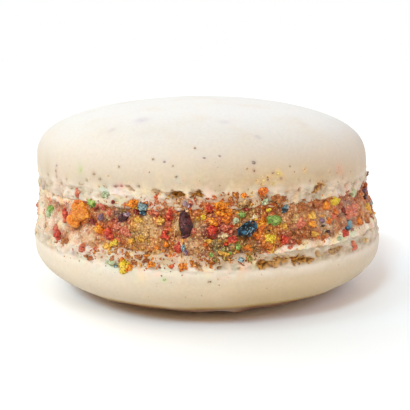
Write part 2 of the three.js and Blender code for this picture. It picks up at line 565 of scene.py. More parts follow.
# %% Colour of a shell
GOLD_AND_SHADE_HEIGHTS = [0, 0.15, 0.4, 0.6, 0.75, 0.85, 1]  # from the lip to the crown, as shares of the way
UPPER_GOLD_AND_SHADE = [0.63, 0.60, 0.38, 0.16, 0.05, 0.0, 0.0]  # how golden the skin is at each of them, partly baked colour and partly painted warm shade down the side
# on the lower shell it rises towards the table, partly baked colour and partly painted warm shade
LOWER_GOLD_AND_SHADE = [0.34, 0.50, 0.58, 0.64, 0.80, 1.0, 1.0]
BASE_SHADE_HEIGHTS = (0.54, 0.71)  # the same shares, between which the painted contact shade at the base of the lower dome sets in
SIDE_SHADE_MIDDLE = math.radians(24)  # from the front, plus to the right, where both shells are painted most golden, as shade away from the window
SIDE_SHADE_SPREAD = math.radians(42)  # how far round from there it fades
SIDE_SHADE_LEAST = 0.72  # the factor on the gold of the far side from there, which takes the least painted shade
SIDE_SHADE_EXTRA = 0.51  # and what is added to that where the painted shade is strongest


def slot_marks(turn, h, height, r, radius, slots, marks):
    """How deep the slots are in mm and how brown they are at each point, the brown partly painted shade."""
    deepened = np.zeros(marks["frills"].shape)
    brown = np.zeros(marks["frills"].shape)
    ragged = 0.75 * marks["fine"] + 0.45 * marks["frills"]
    outer = (h < 0.8) * (r > radius - RIM)
    for centre, middle, wide, tall, tilt, deep in slots:
        across = wrap(turn - centre) * radius
        rise = height - middle
        u = across * math.cos(tilt) + rise * math.sin(tilt)
        v = rise * math.cos(tilt) - across * math.sin(tilt)
        inside = 1 - np.abs(u / (wide / 2)) ** 2 - np.abs(v / (tall / 2)) ** 2 + 1.5 * ragged
        hole = smooth_step(-0.3, 0.5, inside) * outer
        deepened = deepened + (0.1 + 0.35 * deep) * hole * (1 + 0.8 * marks["frills"])
        # painted shade: the deeper a slot, the browner it is
        brown = np.maximum(brown, smooth_step(-1.0, 0.4, inside) * min(0.3 + deep * 0.6, 1) * outer)
    return deepened, brown


def shell_layers(turn, h, relief, brown, marks, up, gold, foot_side_shade):
    """The attributes that the meringue material reads. The gold is partly painted warm shade, and the
    base and the foot's hollows carry painted shade.
    """
    # painted side shade round the shells, most golden on the front right, away from the window
    baked = SIDE_SHADE_LEAST + SIDE_SHADE_EXTRA * np.exp(-(wrap(turn - SIDE_SHADE_MIDDLE) / SIDE_SHADE_SPREAD) ** 2)
    share = h / h.max()
    base_shade = smooth_step(*BASE_SHADE_HEIGHTS, share) * (up < 0)  # painted contact shade near the table, on top of the gold, which ends at 1
    pores, some = marks["pores"], marks["some"]
    # painted shade: the foot is darker where it lies deeper and in its pores, and on one side with the skin
    hollow_shade = np.clip(0.50 - relief / 0.6 + 0.3 * pores * some + foot_side_shade * (baked - 1), 0, 1)
    bare = smooth_step(0.9, -0.9, h + 0.5 * some - 0.25) * marks["rim"]
    return {
        "foot": np.broadcast_to(bare, brown.shape),
        "brown": np.clip(brown, 0, 1),
        "hollow_shade": hollow_shade * marks["on_foot"],
        "under": np.full(brown.shape, 1.0 if up < 0 else 0.0),
        "gold": np.clip(np.interp(share, GOLD_AND_SHADE_HEIGHTS, gold) * baked, 0, 1) + base_shade,
    }


# %% A shell
def meringue_shell(name, *, width, dome, squareness, lip_depth, flat_radius, foot_slope, foot_side_shade, gold,
                   slots, lip, up, seed, shift=0.0, lean=0.0):
    """The mesh of one shell. up is 1 with the crown up and -1 with it down, and lip is the lip's height.

    shift moves it and lean moves its crown along X. The argument after foot_slope says how much of the
    skin's painted side shade the foot takes on.
    """
    radius = width / 2
    r, h = shell_profile(radius, dome, squareness, lip_depth, flat_radius, foot_slope)
    angle, points = spun_points(r, h, SHELL_AROUND)
    turn = angle[:, None]
    along_r, along_h = np.gradient(r), np.gradient(h)
    length = np.hypot(along_r, along_h)
    normal_r, normal_h = -along_h / length, along_r / length

    relief, marks = shell_relief(points, r, h, radius, seed)
    if up < 0:
        relief = relief + lower_dome_relief(points, turn, r, h, marks["on_side"], seed)
    deepened, brown = slot_marks(turn, h, lip + up * h, r, radius, slots, marks)
    relief = relief - deepened
    relief = relief + r / radius * waves_round(turn if up > 0 else math.pi - turn)
    layers = shell_layers(turn, h, relief, brown, marks, up, gold, foot_side_shade)

    out = np.stack([np.sin(turn) * normal_r, -np.cos(turn) * normal_r,
                    np.broadcast_to(normal_h, points.shape[:2])], -1)
    points = points + out * (relief * smooth_step(0.0, 2.0, r))[..., None]
    ring = np.stack([np.sin(turn) * LIP_WAVES, -np.cos(turn) * LIP_WAVES, turn * 0], -1)
    wavy = 0.16 * field(soft_noise, ring, 1.0, seed + 11) + 0.09 * field(soft_noise, ring, 0.3, seed + 14)
    points[..., 2] += wavy * np.exp(-(h / 0.9) ** 2)
    points[..., 0] += shift + lean * np.clip(h, 0, None) / dome
    points[..., 2] = np.maximum(lip + up * points[..., 2], 0)
    return grid_mesh(name, points, layers)


upper_mesh = meringue_shell(
    "upper_meringue", width=UPPER_WIDTH, dome=UPPER_DOME, squareness=UPPER_SQUARENESS,
    lip_depth=UPPER_LIP_DROP, flat_radius=CROWN_RADIUS, foot_slope=0, foot_side_shade=-0.2, gold=UPPER_GOLD_AND_SHADE,
    slots=slots_round(UPPER_SLOTS, UPPER_WIDTH / 2 - FOOT_INSET, UPPER_SHIFT, 11, upper_lip - 0.3),
    lip=upper_lip, up=1, seed=1, shift=UPPER_SHIFT, lean=CROWN_SHIFT)
lower_mesh = meringue_shell(
    "lower_meringue", width=LOWER_WIDTH, dome=LOWER_DOME, squareness=LOWER_SQUARENESS,
    lip_depth=LOWER_LIP_RISE, flat_radius=REST_RADIUS, foot_slope=LOWER_FOOT_SLOPE, foot_side_shade=1.0,
    gold=LOWER_GOLD_AND_SHADE,
    slots=slots_round(LOWER_SLOTS, LOWER_WIDTH / 2 - FOOT_INSET, 0.0, 12, lower_lip + 0.35),
    lip=lower_lip, up=-1, seed=2)

# %% [markdown]
# ### Almond meringue
#
# The shell is baked almond meringue: finely ground almonds and sugar in whipped egg white. Its skin
# is matt and very smooth, pale ivory on the crown and a little more golden down the side, partly its
# baked colour and partly painted warm shade. The front right, away from the window, is painted more
# golden still, as shade, and the lower shell darker near the table, as painted contact shade. Light
# goes a short way into it, which softens every shadow. The foot has no skin, so it is whiter and
# grainy, with painted shade in its hollows, and the slots are toasted and darkened with painted shade.
# The attributes of the mesh say where each of these is. The grain of the ground almonds, a third of a
# millimetre, is a faint bump, because it is too fine for geometry.

# %% Meringue material
CLOUD_SIZE = 5  # mm, size of the clouds in the skin
ALMOND_GRAIN = 0.35  # mm
SKIN_PALE = "dad5cf"  # on top, palest, where it takes no gold and no painted warm shade
SKIN_GOLD_AND_SHADE = "a07c38"  # low on the side of the upper shell: partly baked colour, partly painted warm shade
SKIN_UNDER_GOLD_AND_SHADE = "aa8a46"  # the same on the lower shell, yellower: partly baked colour, partly painted warm shade of a shell that faces the table
SKIN_BASE_SHADE = "6a3806"  # painted contact shade, low on the shell that the macaron stands on
SKIN_CLOUD = "d2c0a8"  # in clouds of a few millimetres, where the batter was mixed less
FOOT_LIGHT = "d5c9ba"  # the frills of the foot
FOOT_HOLLOW_SHADE = "9a8262"  # painted shade in the hollows between them
TOAST_AND_SHADE_LIGHT = "bc8230"  # the dry crumb inside the slots, toasted and darkened as painted shade of the slot
TOAST_AND_SHADE_DARK = "643a08"


def new_material(name, surface):
    """A material with only a Principled shader on its output. surface holds the shader's numbers."""
    material = bpy.data.materials.new(name)
    material.use_nodes = True
    tree = material.node_tree
    tree.nodes.clear()
    shader = add_node(tree, "ShaderNodeBsdfPrincipled", surface)
    add_node(tree, "ShaderNodeOutputMaterial", links={"Surface": shader.outputs["BSDF"]})
    return material, tree, shader


def mix_colour(tree, factor, first, second, mode="MIX"):
    """A colour mix. Factor and both colours are sockets or values."""
    settings = {"data_type": "RGBA", "blend_type": mode}
    links = {}
    for key, value in ((0, factor), (6, first), (7, second)):
        (links if isinstance(value, bpy.types.NodeSocket) else settings)[key] = value
    return add_node(tree, "ShaderNodeMix", settings, links).outputs[2]


def finish_surface(tree, shader, colour, height, strength, depth):
    """Links a colour to the shader, and a bump from a height. depth is how deep the bump is in mm."""
    tree.links.new(colour, shader.inputs["Base Color"])
    settings = {"Strength": strength, "Distance": depth * MM}
    bump = add_node(tree, "ShaderNodeBump", settings, {"Height": height})
    tree.links.new(bump.outputs["Normal"], shader.inputs["Normal"])


def baked_meringue():
    """Baked almond meringue: ground almond and sugar in egg white, dried to a matt, slightly waxy skin."""
    material, tree, shader = new_material("baked almond meringue", {
        "Roughness": 0.62,
        "IOR": 1.45,  # between egg white and sugar
        "Specular IOR Level": 0.35,
        "Subsurface Weight": 0.3,
        "Subsurface Radius": (1.0, 0.62, 0.36),  # red light goes deepest, as in all pale food
        "Subsurface Scale": 1.0 * MM,
    })
    spot = add_node(tree, "ShaderNodeTexCoord").outputs["Object"]
    foot, brown, hollow_shade, gold, under = [
        add_node(tree, "ShaderNodeAttribute", {"attribute_name": name}).outputs["Fac"]
        for name in ("foot", "brown", "hollow_shade", "gold", "under")]
    stain = add_node(tree, "ShaderNodeAttribute", {"attribute_name": "stain"}).outputs
    clouds = add_node(tree, "ShaderNodeTexNoise", {"Scale": 1 / (CLOUD_SIZE * MM), "Detail": 3.0},
                      {"Vector": spot}).outputs["Fac"]
    grains = add_node(tree, "ShaderNodeTexNoise", {"Scale": 1 / (ALMOND_GRAIN * MM), "Detail": 4.0},
                      {"Vector": spot}).outputs["Fac"]

    # gold down the side, partly baked colour and partly painted warm shade, then painted contact shade at
    # the base of the lower shell
    golden = mix_colour(tree, under, srgb(SKIN_GOLD_AND_SHADE), srgb(SKIN_UNDER_GOLD_AND_SHADE))
    skin = mix_colour(tree, gold, srgb(SKIN_PALE), golden)
    skin = mix_colour(tree, ramp(tree, gold, 0.9, 1.7), skin, srgb(SKIN_BASE_SHADE))
    skin = mix_colour(tree, ramp(tree, clouds, 0.45, 0.75, 0.0, 0.35), skin, srgb(SKIN_CLOUD))
    # painted shade in the hollows and pores of the foot
    crumb = mix_colour(tree, hollow_shade, srgb(FOOT_LIGHT), srgb(FOOT_HOLLOW_SHADE))
    colour = mix_colour(tree, foot, skin, crumb)
    colour = mix_colour(tree, 1.0, colour, ramp(tree, grains, 0.3, 0.7, 0.97, 1.02), "MULTIPLY")
    dusty = calculate(tree, "MULTIPLY", stain["Alpha"], ramp(tree, grains, 0.3, 0.65, 0.45, 1.25))
    colour = mix_colour(tree, dusty, colour, stain["Color"])
    # the slots: toasted crumb, darkened as painted shade
    toast_and_shade = mix_colour(tree, ramp(tree, grains, 0.38, 0.6), srgb(TOAST_AND_SHADE_DARK), srgb(TOAST_AND_SHADE_LIGHT))
    colour = mix_colour(tree, brown, colour, toast_and_shade)
    finish_surface(tree, shader, colour, grains, 0.12, 0.05)
    return material


meringue = baked_meringue()
upper_shell = finish_object("upper_meringue", upper_mesh, meringue)
lower_shell = finish_object("lower_meringue", lower_mesh, meringue)
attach(upper_shell, "root")
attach(lower_shell, "root")
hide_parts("upper_shell")
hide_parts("lower_shell")

# %% [markdown]
# ## The filling and its bed of crumbs
#
# Between the shells lies a disc of butter cream. While it was soft, its side was rolled in crushed
# cereal, and some of the crumbs were pushed up and down over the feet of both shells. The finest of
# them and the cream between them make a bumpy bed. It is one ring whose outer side has a bump for each
# grain, and its upper and lower edges wander as the picture shows: each entry gives a place round the
# macaron and how far up and down the crumbs reach there. Past those edges, up to the feet, it is bare
# cream. Thousands of separate grains this small would cost far more faces and look the same.

# %% Edges of the band
BAND = [  # angle from the front in degrees, upper edge and lower edge in mm above the table
    (-105, 14.8, 9.6),
    (-75, 14.2, 9.5),
    (-51, 13.8, 9.2),
    (-40, 14.4, 8.8),
    (-31, 15.1, 8.3),
    (-22, 15.6, 7.9),
    (-10, 15.9, 8.3),
    (0, 16.0, 8.5),
    (12, 16.3, 8.8),
    (20, 15.6, 10.1),
    (27, 14.8, 10.3),
    (39, 14.8, 10.5),
    (56, 15.1, 10.7),
    (75, 15.0, 10.6),
    (104, 15.6, 9.7),
    (131, 14.7, 8.9),
    (158, 15.5, 9.8),
    (186, 15.0, 8.6),
    (212, 15.8, 9.6),
    (238, 14.6, 9.2),
]
upper_foot_radius = UPPER_WIDTH / 2 - FOOT_INSET
lower_foot_radius = LOWER_WIDTH / 2 - FOOT_INSET


def band_edge(turn, which):
    """The height of the band's upper (1) or lower (2) edge at each angle in radians."""
    places = [entry[0] for entry in BAND]
    heights = [entry[which] for entry in BAND]
    return np.interp(np.degrees(turn), places, heights, period=360)


def foot_side(turn, height):
    """The radius of the feet's sides, and of a straight line from one to the other between them."""
    top = upper_foot_radius + UPPER_SHIFT * np.sin(turn)
    share = np.clip((height - lower_foot_top) / (upper_foot_bottom - lower_foot_top), 0, 1)
    lean_start = lower_foot_top - FOOT_HEIGHT + 0.6
    lean = LOWER_FOOT_SLOPE * smooth_step(lean_start, lower_foot_top, height)
    return blend(lower_foot_radius - lean, top, share)


# %% Colours of the crumbs
CEREAL = {  # of each kind the main colour, a second one in its grain, and its flecks of sugar, which also stand for painted glints
    "orange": ("d67408", "e69a28", "ffc450"),
    "deep_orange": ("c2580e", "da8222", "ffb04c"),
    "rust": ("964c18", "c07c3c", "ecb474"),
    "red": ("b42a12", "d6543a", "ff9468"),
    "dark_red": ("74140c", "9e3422", "dc7a5c"),
    "coral": ("be5a3e", "dc8a66", "fcc8a4"),
    "golden": ("d0922a", "e8b854", "ffe08c"),
    "tan": ("c09052", "dfba80", "f6deb0"),
    "cream": ("d2b484", "eacfa4", "ffeecc"),
    "yellow": ("ceaa14", "e6c23c", "fce888"),
    "green": ("6c8c34", "9eb45c", "d0dc90"),
    "mint": ("a0aa84", "c4c89e", "e8ecc8"),
    "sky": ("6a868a", "98aeac", "ccd8d2"),
    "navy": ("04141c", "286482", "c8eef6"),
    "purple": ("2c0a0c", "5c2024", "c08c90"),
    "mauve": ("7c5c6c", "aa8c96", "dccad0"),
    "brown": ("6c3c18", "a0642e", "d0a060"),
    "husk": ("80623a", "a68c5c", "d0bc90"),
}

# %% The bed
BED_AROUND = 900
BED_ALONG = 56
BED_INNER_RADIUS = 20.7  # mm
BED_SUNK = 0.35  # mm, how far the lowest parts of the bed lie inside the feet's sides
BED_GRAIN = 0.95  # mm, size of its grains
BED_FINE_GRAIN = 0.45  # mm, of the finer ones among them
EDGE_RING = 22  # mm, radius of the circle round which its edges wander


def cell_number(p):
    """A number from 0 to 1 that is the same all over one cell."""
    centre = noise.voronoi(p)[1][0]
    return noise.cell(centre * 7.31) * 0.5 + 0.5


def grain_height(p):
    """Rounded grains: 1 in the middle of each and 0 between them."""
    nearest = noise.voronoi(p)[0]
    return 1 - min(nearest[0] / 0.75, 1) ** 2


def bed_mesh():
    """The ring of fine crumbs and cream. "crumbed" marks the crumbs on it and "pit" the gaps between."""
    turn = (np.arange(BED_AROUND) / BED_AROUND * 2 * math.pi)[:, None]
    v = np.linspace(0, 1, BED_ALONG)
    ring = np.stack([np.sin(turn) * EDGE_RING, -np.cos(turn) * EDGE_RING, turn * 0], -1)
    upper = band_edge(turn, 1) + 0.5 * field(soft_noise, ring, 1.6, 31)
    lower = band_edge(turn, 2) + 0.5 * field(soft_noise, ring, 1.6, 32)
    wander = 0.4 * field(soft_noise, ring, 2.2, 33) + 0.2 * field(soft_noise, ring, 0.7, 34)
    top = np.maximum(upper, upper_foot_bottom + 0.5 + wander)
    bottom = np.minimum(lower, lower_foot_top - 0.5 - wander)
    height = bottom + (top - bottom) * v
    radius = foot_side(turn, height)
    points = np.stack([np.sin(turn) * radius, -np.cos(turn) * radius, height], -1)
    coarse = field(grain_height, points, BED_GRAIN, 41)
    small = field(grain_height, points, BED_FINE_GRAIN, 42)
    swell = field(soft_noise, points, 3.0, 43)
    edge = smooth_step(0, 0.1, v) * smooth_step(1, 0.9, v)
    in_band = smooth_step(-0.2, 0.3, height - lower) * smooth_step(-0.2, 0.3, upper - height)
    bare = 0.26 * field(soft_noise, points, 1.2, 46) + 0.12 * field(rough_noise, points, 0.5, 47)
    packed = 0.3 * coarse + 0.12 * small + 0.2 * swell
    over_foot = smooth_step(lower_foot_top + 0.1, lower_foot_top - 0.35, height)
    over_foot = over_foot + smooth_step(upper_foot_bottom - 0.1, upper_foot_bottom + 0.35, height)
    crumbs = packed + 0.15 * over_foot - 0.08
    cream = bare - 0.1 * over_foot + 0.28
    relief = edge * (in_band * crumbs + (1 - in_band) * cream) - BED_SUNK
    radius = radius + relief
    outer = np.stack([np.sin(turn) * radius, -np.cos(turn) * radius, height], -1)
    inner_height = np.stack([top, (top + bottom) / 2, bottom], -1)[:, 0]
    inner_height = np.clip(inner_height, lower_foot_top + GAP, upper_foot_bottom - GAP)
    inner = np.stack([np.sin(turn) * BED_INNER_RADIUS + inner_height * 0,
                      -np.cos(turn) * BED_INNER_RADIUS + inner_height * 0, inner_height], -1)
    # how low each point lies between the grains, which the bed's colour darkens as painted shade
    pit = np.clip(1 - 0.6 * coarse - 0.4 * small, 0, 1)
    inside = np.zeros(inner.shape[:2])
    layers = {"crumbed": np.concatenate([in_band, inside], 1), "pit": np.concatenate([pit, inside], 1)}
    return grid_mesh("crumb_bed", np.concatenate([outer, inner], 1), layers, poles=False)


# %% Crushed cereal in cream
PORE_SHADE = "6c3c22"  # painted shade: what the pores of a crumb multiply its colour by
FLECK = 0.2  # mm, size of the sugar flecks, which are partly painted glints, and of the pores
CREAM_GLINT = "fff0dc"  # sugar flecks and painted glints where cream lies over the grains
SUGAR_GLINT = "ffd88c"  # sugar flecks and painted glints where the grains are bare


def sugary(tree, spot, colour, sugar, pale, dark):
    """The look that all crumbs share: bright sugar flecks, partly painted glints, and dark pores,
    partly painted shade. Returns a colour and a height.
    """
    settings = {"Scale": 1 / (FLECK * MM), "Detail": 3.0, "Roughness": 0.6}
    flecks = add_node(tree, "ShaderNodeTexNoise", settings, {"Vector": spot}).outputs["Fac"]
    colour = mix_colour(tree, ramp(tree, flecks, 0.54, 0.68, 0.0, pale), colour, srgb(sugar))
    shadow = mix_colour(tree, 1.0, colour, srgb(PORE_SHADE), "MULTIPLY")
    colour = mix_colour(tree, ramp(tree, flecks, 0.48, 0.34, 0.0, dark), colour, shadow)
    return colour, flecks


def crumb_paste():
    """Crushed cereal pressed into butter cream: a matt, slightly oily mass of coloured grains."""
    material, tree, shader = new_material("crushed cereal in butter cream", {
        "Roughness": 0.4,
        "Specular IOR Level": 0.32,
        "Subsurface Weight": 0.15,
        "Subsurface Radius": (1.0, 0.5, 0.25),
        "Subsurface Scale": 0.4 * MM,
    })
    spot = add_node(tree, "ShaderNodeTexCoord").outputs["Object"]
    grain = add_node(tree, "ShaderNodeAttribute", {"attribute_name": "grain_colour"}).outputs
    crisp = calculate(tree, "MULTIPLY", grain["Alpha"], 0.8)
    # painted glints and painted shade in the pores, both fainter where cream covers the grains
    plain, _ = sugary(tree, spot, grain["Color"], CREAM_GLINT, 0.3, 0.12)
    rich, height = sugary(tree, spot, grain["Color"], SUGAR_GLINT, 0.7, 1.0)
    finish_surface(tree, shader, mix_colour(tree, crisp, plain, rich), height, 0.6, 0.1)
    return material


crumb_bed = finish_object("crumb_bed", bed_mesh(), crumb_paste())
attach(crumb_bed, "root")
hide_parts("crumb_coat")

# %% The cream inside
CREAM_RADIUS = 20.5  # mm
CREAM_EDGE = 1.2  # mm, how far its side bulges
CREAM_AROUND = 180
CREAM_STREAK = 2  # mm, width of the streaks that whipping left
CREAM_DEEP = "f0dfc8"
CREAM_PALE = "f7ecdc"


def cream_mesh():
    """The disc of butter cream inside the bed, with the soft uneven side that a piping bag leaves."""
    low, high = lower_foot_top + GAP, upper_foot_bottom - GAP
    s = np.linspace(0, math.pi, 15)
    side = CREAM_RADIUS - CREAM_EDGE + CREAM_EDGE * np.sin(s)
    r = np.concatenate([[0, CREAM_RADIUS * 0.5], side, [CREAM_RADIUS * 0.5, 0]])
    h = (low + high) / 2 + (high - low) / 2 * np.concatenate([[1, 1], np.cos(s), [-1, -1]])
    points = spun_points(r, h, CREAM_AROUND)[1]
    waves = 0.15 * field(soft_noise, points, 4.0, 51) * (r > CREAM_RADIUS * 0.6)
    points = points * np.stack([1 - np.abs(waves) / CREAM_RADIUS] * 2 + [np.ones_like(waves)], -1)
    return grid_mesh("cream_core", points)


def butter_cream():
    """Whipped butter and sugar: pale, smooth and a little glossy, with light going a short way in."""
    material, tree, shader = new_material("butter cream", {
        "Roughness": 0.45,
        "Subsurface Weight": 0.3,
        "Subsurface Radius": (1.0, 0.7, 0.45),
        "Subsurface Scale": 1.5 * MM,
    })
    spot = add_node(tree, "ShaderNodeTexCoord").outputs["Object"]
    streaks = add_node(tree, "ShaderNodeTexNoise", {"Scale": 1 / (CREAM_STREAK * MM), "Detail": 2.0},
                       {"Vector": spot}).outputs["Fac"]
    colour = mix_colour(tree, streaks, srgb(CREAM_DEEP), srgb(CREAM_PALE))
    tree.links.new(colour, shader.inputs["Base Color"])
    return material


cream_core = finish_object("cream_core", cream_mesh(), butter_cream())
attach(cream_core, "root")
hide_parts("butter_cream")

# %% [markdown]
# ## Loose crumbs
#
# On the bed and on the feet sit the crumbs that the eye can tell apart: broken cereal from a seventh of
# a millimetre to three millimetres across, of eighteen kinds. Geometry Nodes scatter them: points are
# spread over a carrier surface, each point gets one of a few chipped shapes with its own size and
# turn, and the result is realized and becomes a plain mesh. There is one piece for each kind, because
# each kind has a material of its own.
#
# The carrier is a sheet round the macaron that follows whatever lies outermost, so that each crumb
# touches what it rests on. It is found by shooting rays inwards, and it isn't kept.

# %% The carrier
CARRIER_AROUND = 720
CARRIER_LOW = 4.5  # mm above the table, as are the next two
CARRIER_HIGH = 20.5
CARRIER_STEP = 0.18
OUTSIDE = 40  # mm from the axis, from where rays are shot inwards

vertices, polygons = [], []
for part in (upper_shell, lower_shell, crumb_bed, cream_core):
    start = len(vertices)
    vertices += [v.co / MM for v in part.data.vertices]
    polygons += [[start + index for index in p.vertices] for p in part.data.polygons]
outside = BVHTree.FromPolygons(vertices, polygons)
print("carrier is found on", len(polygons), "faces")


def outermost(turn, height):
    """The outermost point at an angle and a height, and the normal there."""
    inward = Vector((-math.sin(turn), math.cos(turn), 0))
    return outside.ray_cast(Vector((0, 0, float(height))) - inward * OUTSIDE, inward)[:2]


carrier_turns = np.arange(CARRIER_AROUND) / CARRIER_AROUND * 2 * math.pi
carrier_heights = np.arange(CARRIER_LOW, CARRIER_HIGH, CARRIER_STEP)
carrier_points = np.array([[outermost(turn, height)[0] for height in carrier_heights]
                           for turn in carrier_turns])
around, along = carrier_points.shape[:2]
index = np.arange(around * along).reshape(around, along)
beside = np.roll(index, -1, axis=0)
quads = np.stack([index[:, :-1], beside[:, :-1], beside[:, 1:], index[:, 1:]], -1).reshape(-1, 4)
carrier_mesh = bpy.data.meshes.new("carrier")
carrier_mesh.from_pydata((carrier_points.reshape(-1, 3) * MM).tolist(), [], quads.tolist())
carrier_mesh.attributes.new("density", "FLOAT", "POINT")
carrier = finish_object("carrier", carrier_mesh)
print("carrier:", len(quads), "faces")

# %% Where crumbs lie
DUST_REACH = 1.1  # mm past the band within which most of the dust lies


def seen_place(x, y):
    """The point in mm where the camera sees a pixel of the picture, the normal there, and pixels per mm."""
    ray = view_ray(x, y)
    place, normal = outside.ray_cast(eye, ray)[:2]
    depth = (place - eye).dot(-towards_camera)
    return np.array(place), np.array(normal), PICTURE * LENS / SENSOR / depth


turn_grid = carrier_turns[:, None]
ragged = 0.55 * field(soft_noise, carrier_points, 1.5, 61)
ragged = ragged + 0.25 * field(soft_noise, carrier_points, 0.6, 62)
above = carrier_heights - band_edge(turn_grid, 1) + ragged
below = band_edge(turn_grid, 2) - carrier_heights + ragged
outside_band = np.maximum(above, below)
in_band = smooth_step(0.25, -0.15, outside_band)
dusted = np.exp(-np.clip(outside_band, 0, None) / DUST_REACH) * (1 - in_band)
print(f"band covers {in_band.mean() * 100:.0f}% of the carrier")

# %% [markdown]
# ### Drifts
#
# The cereal was crushed ring by ring, so crumbs of one colour lie together in drifts a few
# millimetres wide, and in some places the cream shows. Each drift on the near side has a place in the
# picture, a radius in millimetres, the kinds in it, and how much of the bed they cover. The drifts on
# the far side are drawn at random with the same sizes.

# %% Drifts
DRIFTS = [  # x and y in the picture, radius in mm, cover from 0 to 1, kinds
    (40, 200, 1.6, 0.15, "cream coral green"),
    (40, 216, 1.6, 0.10, "cream coral tan"),
    (40, 232, 1.6, 0.10, "cream tan"),
    (46, 243, 1.5, 0.15, "cream tan coral"),
    (52, 218, 1.2, 0.25, "cream coral"),
    (62, 222, 1.2, 0.25, "cream coral tan"),
    (72, 240, 1.3, 0.20, "cream tan coral"),
    (88, 237, 1.1, 0.25, "cream coral golden"),
    (71, 206, 0.8, 0.35, "cream coral"),
    (118, 203, 1.0, 0.35, "cream tan coral"),
    (104, 212, 1.3, 0.85, "coral rust tan golden"),
    (97, 226, 0.9, 1.0, "orange golden deep_orange"),
    (109, 233, 1.1, 0.95, "red deep_orange orange"),
    (126, 230, 1.3, 0.9, "coral red golden"),
    (122, 216, 0.9, 1.0, "mauve coral purple"),
    (108, 249, 1.1, 0.65, "golden tan cream"),
    (141, 236, 1.6, 0.75, "golden tan yellow"),
    (151, 228, 1.2, 0.45, "tan cream golden"),
    (167, 222, 1.2, 1.0, "red coral orange"),
    (160, 245, 1.2, 0.8, "orange golden tan"),
    (140, 259, 1.5, 0.85, "rust golden tan orange"),
    (178, 226, 0.7, 0.4, "cream tan golden"),
    (157, 210, 1.0, 0.95, "coral orange tan"),
    (176, 206, 1.0, 0.75, "tan coral cream"),
    (197, 226, 0.9, 0.6, "cream coral golden"),
    (193, 245, 1.2, 0.6, "coral tan cream"),
    (220, 214, 1.7, 1.0, "orange deep_orange golden"),
    (210, 231, 1.0, 1.0, "red dark_red rust"),
    (224, 228, 0.8, 1.0, "coral red"),
    (222, 250, 1.3, 0.9, "golden brown green brown"),
    (250, 245, 1.3, 0.9, "golden brown green rust"),
    (247, 212, 1.1, 0.9, "golden green brown tan"),
    (262, 229, 1.4, 1.0, "deep_orange orange golden"),
    (272, 236, 1.0, 1.0, "golden yellow orange"),
    (285, 218, 0.9, 0.9, "golden tan tan"),
    (287, 239, 1.0, 1.0, "red coral rust"),
    (300, 214, 1.5, 0.85, "rust golden tan tan"),
    (300, 229, 1.6, 0.95, "rust golden coral tan"),
    (313, 222, 1.2, 0.95, "golden orange tan"),
    (325, 222, 1.4, 0.7, "golden tan tan mauve cream"),
    (336, 207, 1.2, 0.9, "golden coral tan"),
    (350, 212, 1.7, 0.75, "coral coral tan mauve cream"),
    (366, 211, 1.6, 0.65, "golden coral tan cream"),
]
BARE_CREAM = "dccdb9"
SOAKED_CREAM = "b48c58"  # where it took up the oil and dye of the crumbs
RICHER = 1.6  # a power that deepens the mean colour of many crumbs, as oil does
RICHER_LIGHT = 1.2  # and a factor that keeps its lightness
CRISP_MIDDLE = math.radians(-3)  # from the front, where the crumbs are barest and show their pores
CRISP_SPREAD = math.radians(33)
CRISP_FAR = math.radians(85)  # half the width of the same round the back
CREAMY_CRISP = 0.25  # how much of the pores shows elsewhere, under a film of cream
PALE_SIDE = (-86, 26, 0.2)  # degrees from the front, spread in degrees, and the cover there
FAR_DRIFTS = 44
FAR_DRIFT_TURNS = (78, 282)  # degrees from the front
FAR_DRIFT_HEIGHTS = (9.5, 15.0)
FAR_DRIFT_RADII = (0.9, 1.7)
FAR_COVERS = [0.6, 0.9, 1.0, 1.0]
MAIN_KINDS = ["orange", "deep_orange", "rust", "red", "coral", "golden", "tan", "cream", "yellow", "brown"]
SHARES = {  # how many of a hundred crumbs are of each kind
    "orange": 18, "deep_orange": 10, "rust": 9, "red": 7, "dark_red": 2.5, "coral": 10, "golden": 16,
    "tan": 10, "cream": 4, "yellow": 5, "green": 1.4, "mint": 0.8, "sky": 0.4, "navy": 0.25, "purple": 0.5,
    "mauve": 0.8, "brown": 3, "husk": 1.5,
}
kinds = list(SHARES)

drifts = []
for x, y, radius, cover, names in DRIFTS:
    drifts.append((seen_place(x, y)[0], radius, cover, names.split()))
random = np.random.default_rng(5)
for number in range(FAR_DRIFTS):
    turn = math.radians(random.uniform(*FAR_DRIFT_TURNS))
    height = random.uniform(*FAR_DRIFT_HEIGHTS)
    radius = float(foot_side(turn, height))
    centre = np.array([math.sin(turn) * radius, -math.cos(turn) * radius, height])
    names = list(random.choice(MAIN_KINDS, size=3, replace=False))
    cover = float(random.choice(FAR_COVERS))
    drifts.append((centre, random.uniform(*FAR_DRIFT_RADII), cover, names))


def crispness(turn):
    """How much of the pores and sugar of the crumbs shows at an angle in radians."""
    front = np.exp(-(wrap(turn - CRISP_MIDDLE) / CRISP_SPREAD) ** 4)
    far = 0.7 * np.exp(-(wrap(turn - math.pi) / CRISP_FAR) ** 4)
    return CREAMY_CRISP + (1 - CREAMY_CRISP) * (front + far)


def soaked(turn):
    """How much of the cream among the crumbs is soaked with their dye at an angle in radians."""
    return 0.1 + 0.9 * (crispness(turn) - CREAMY_CRISP) / (1 - CREAMY_CRISP)


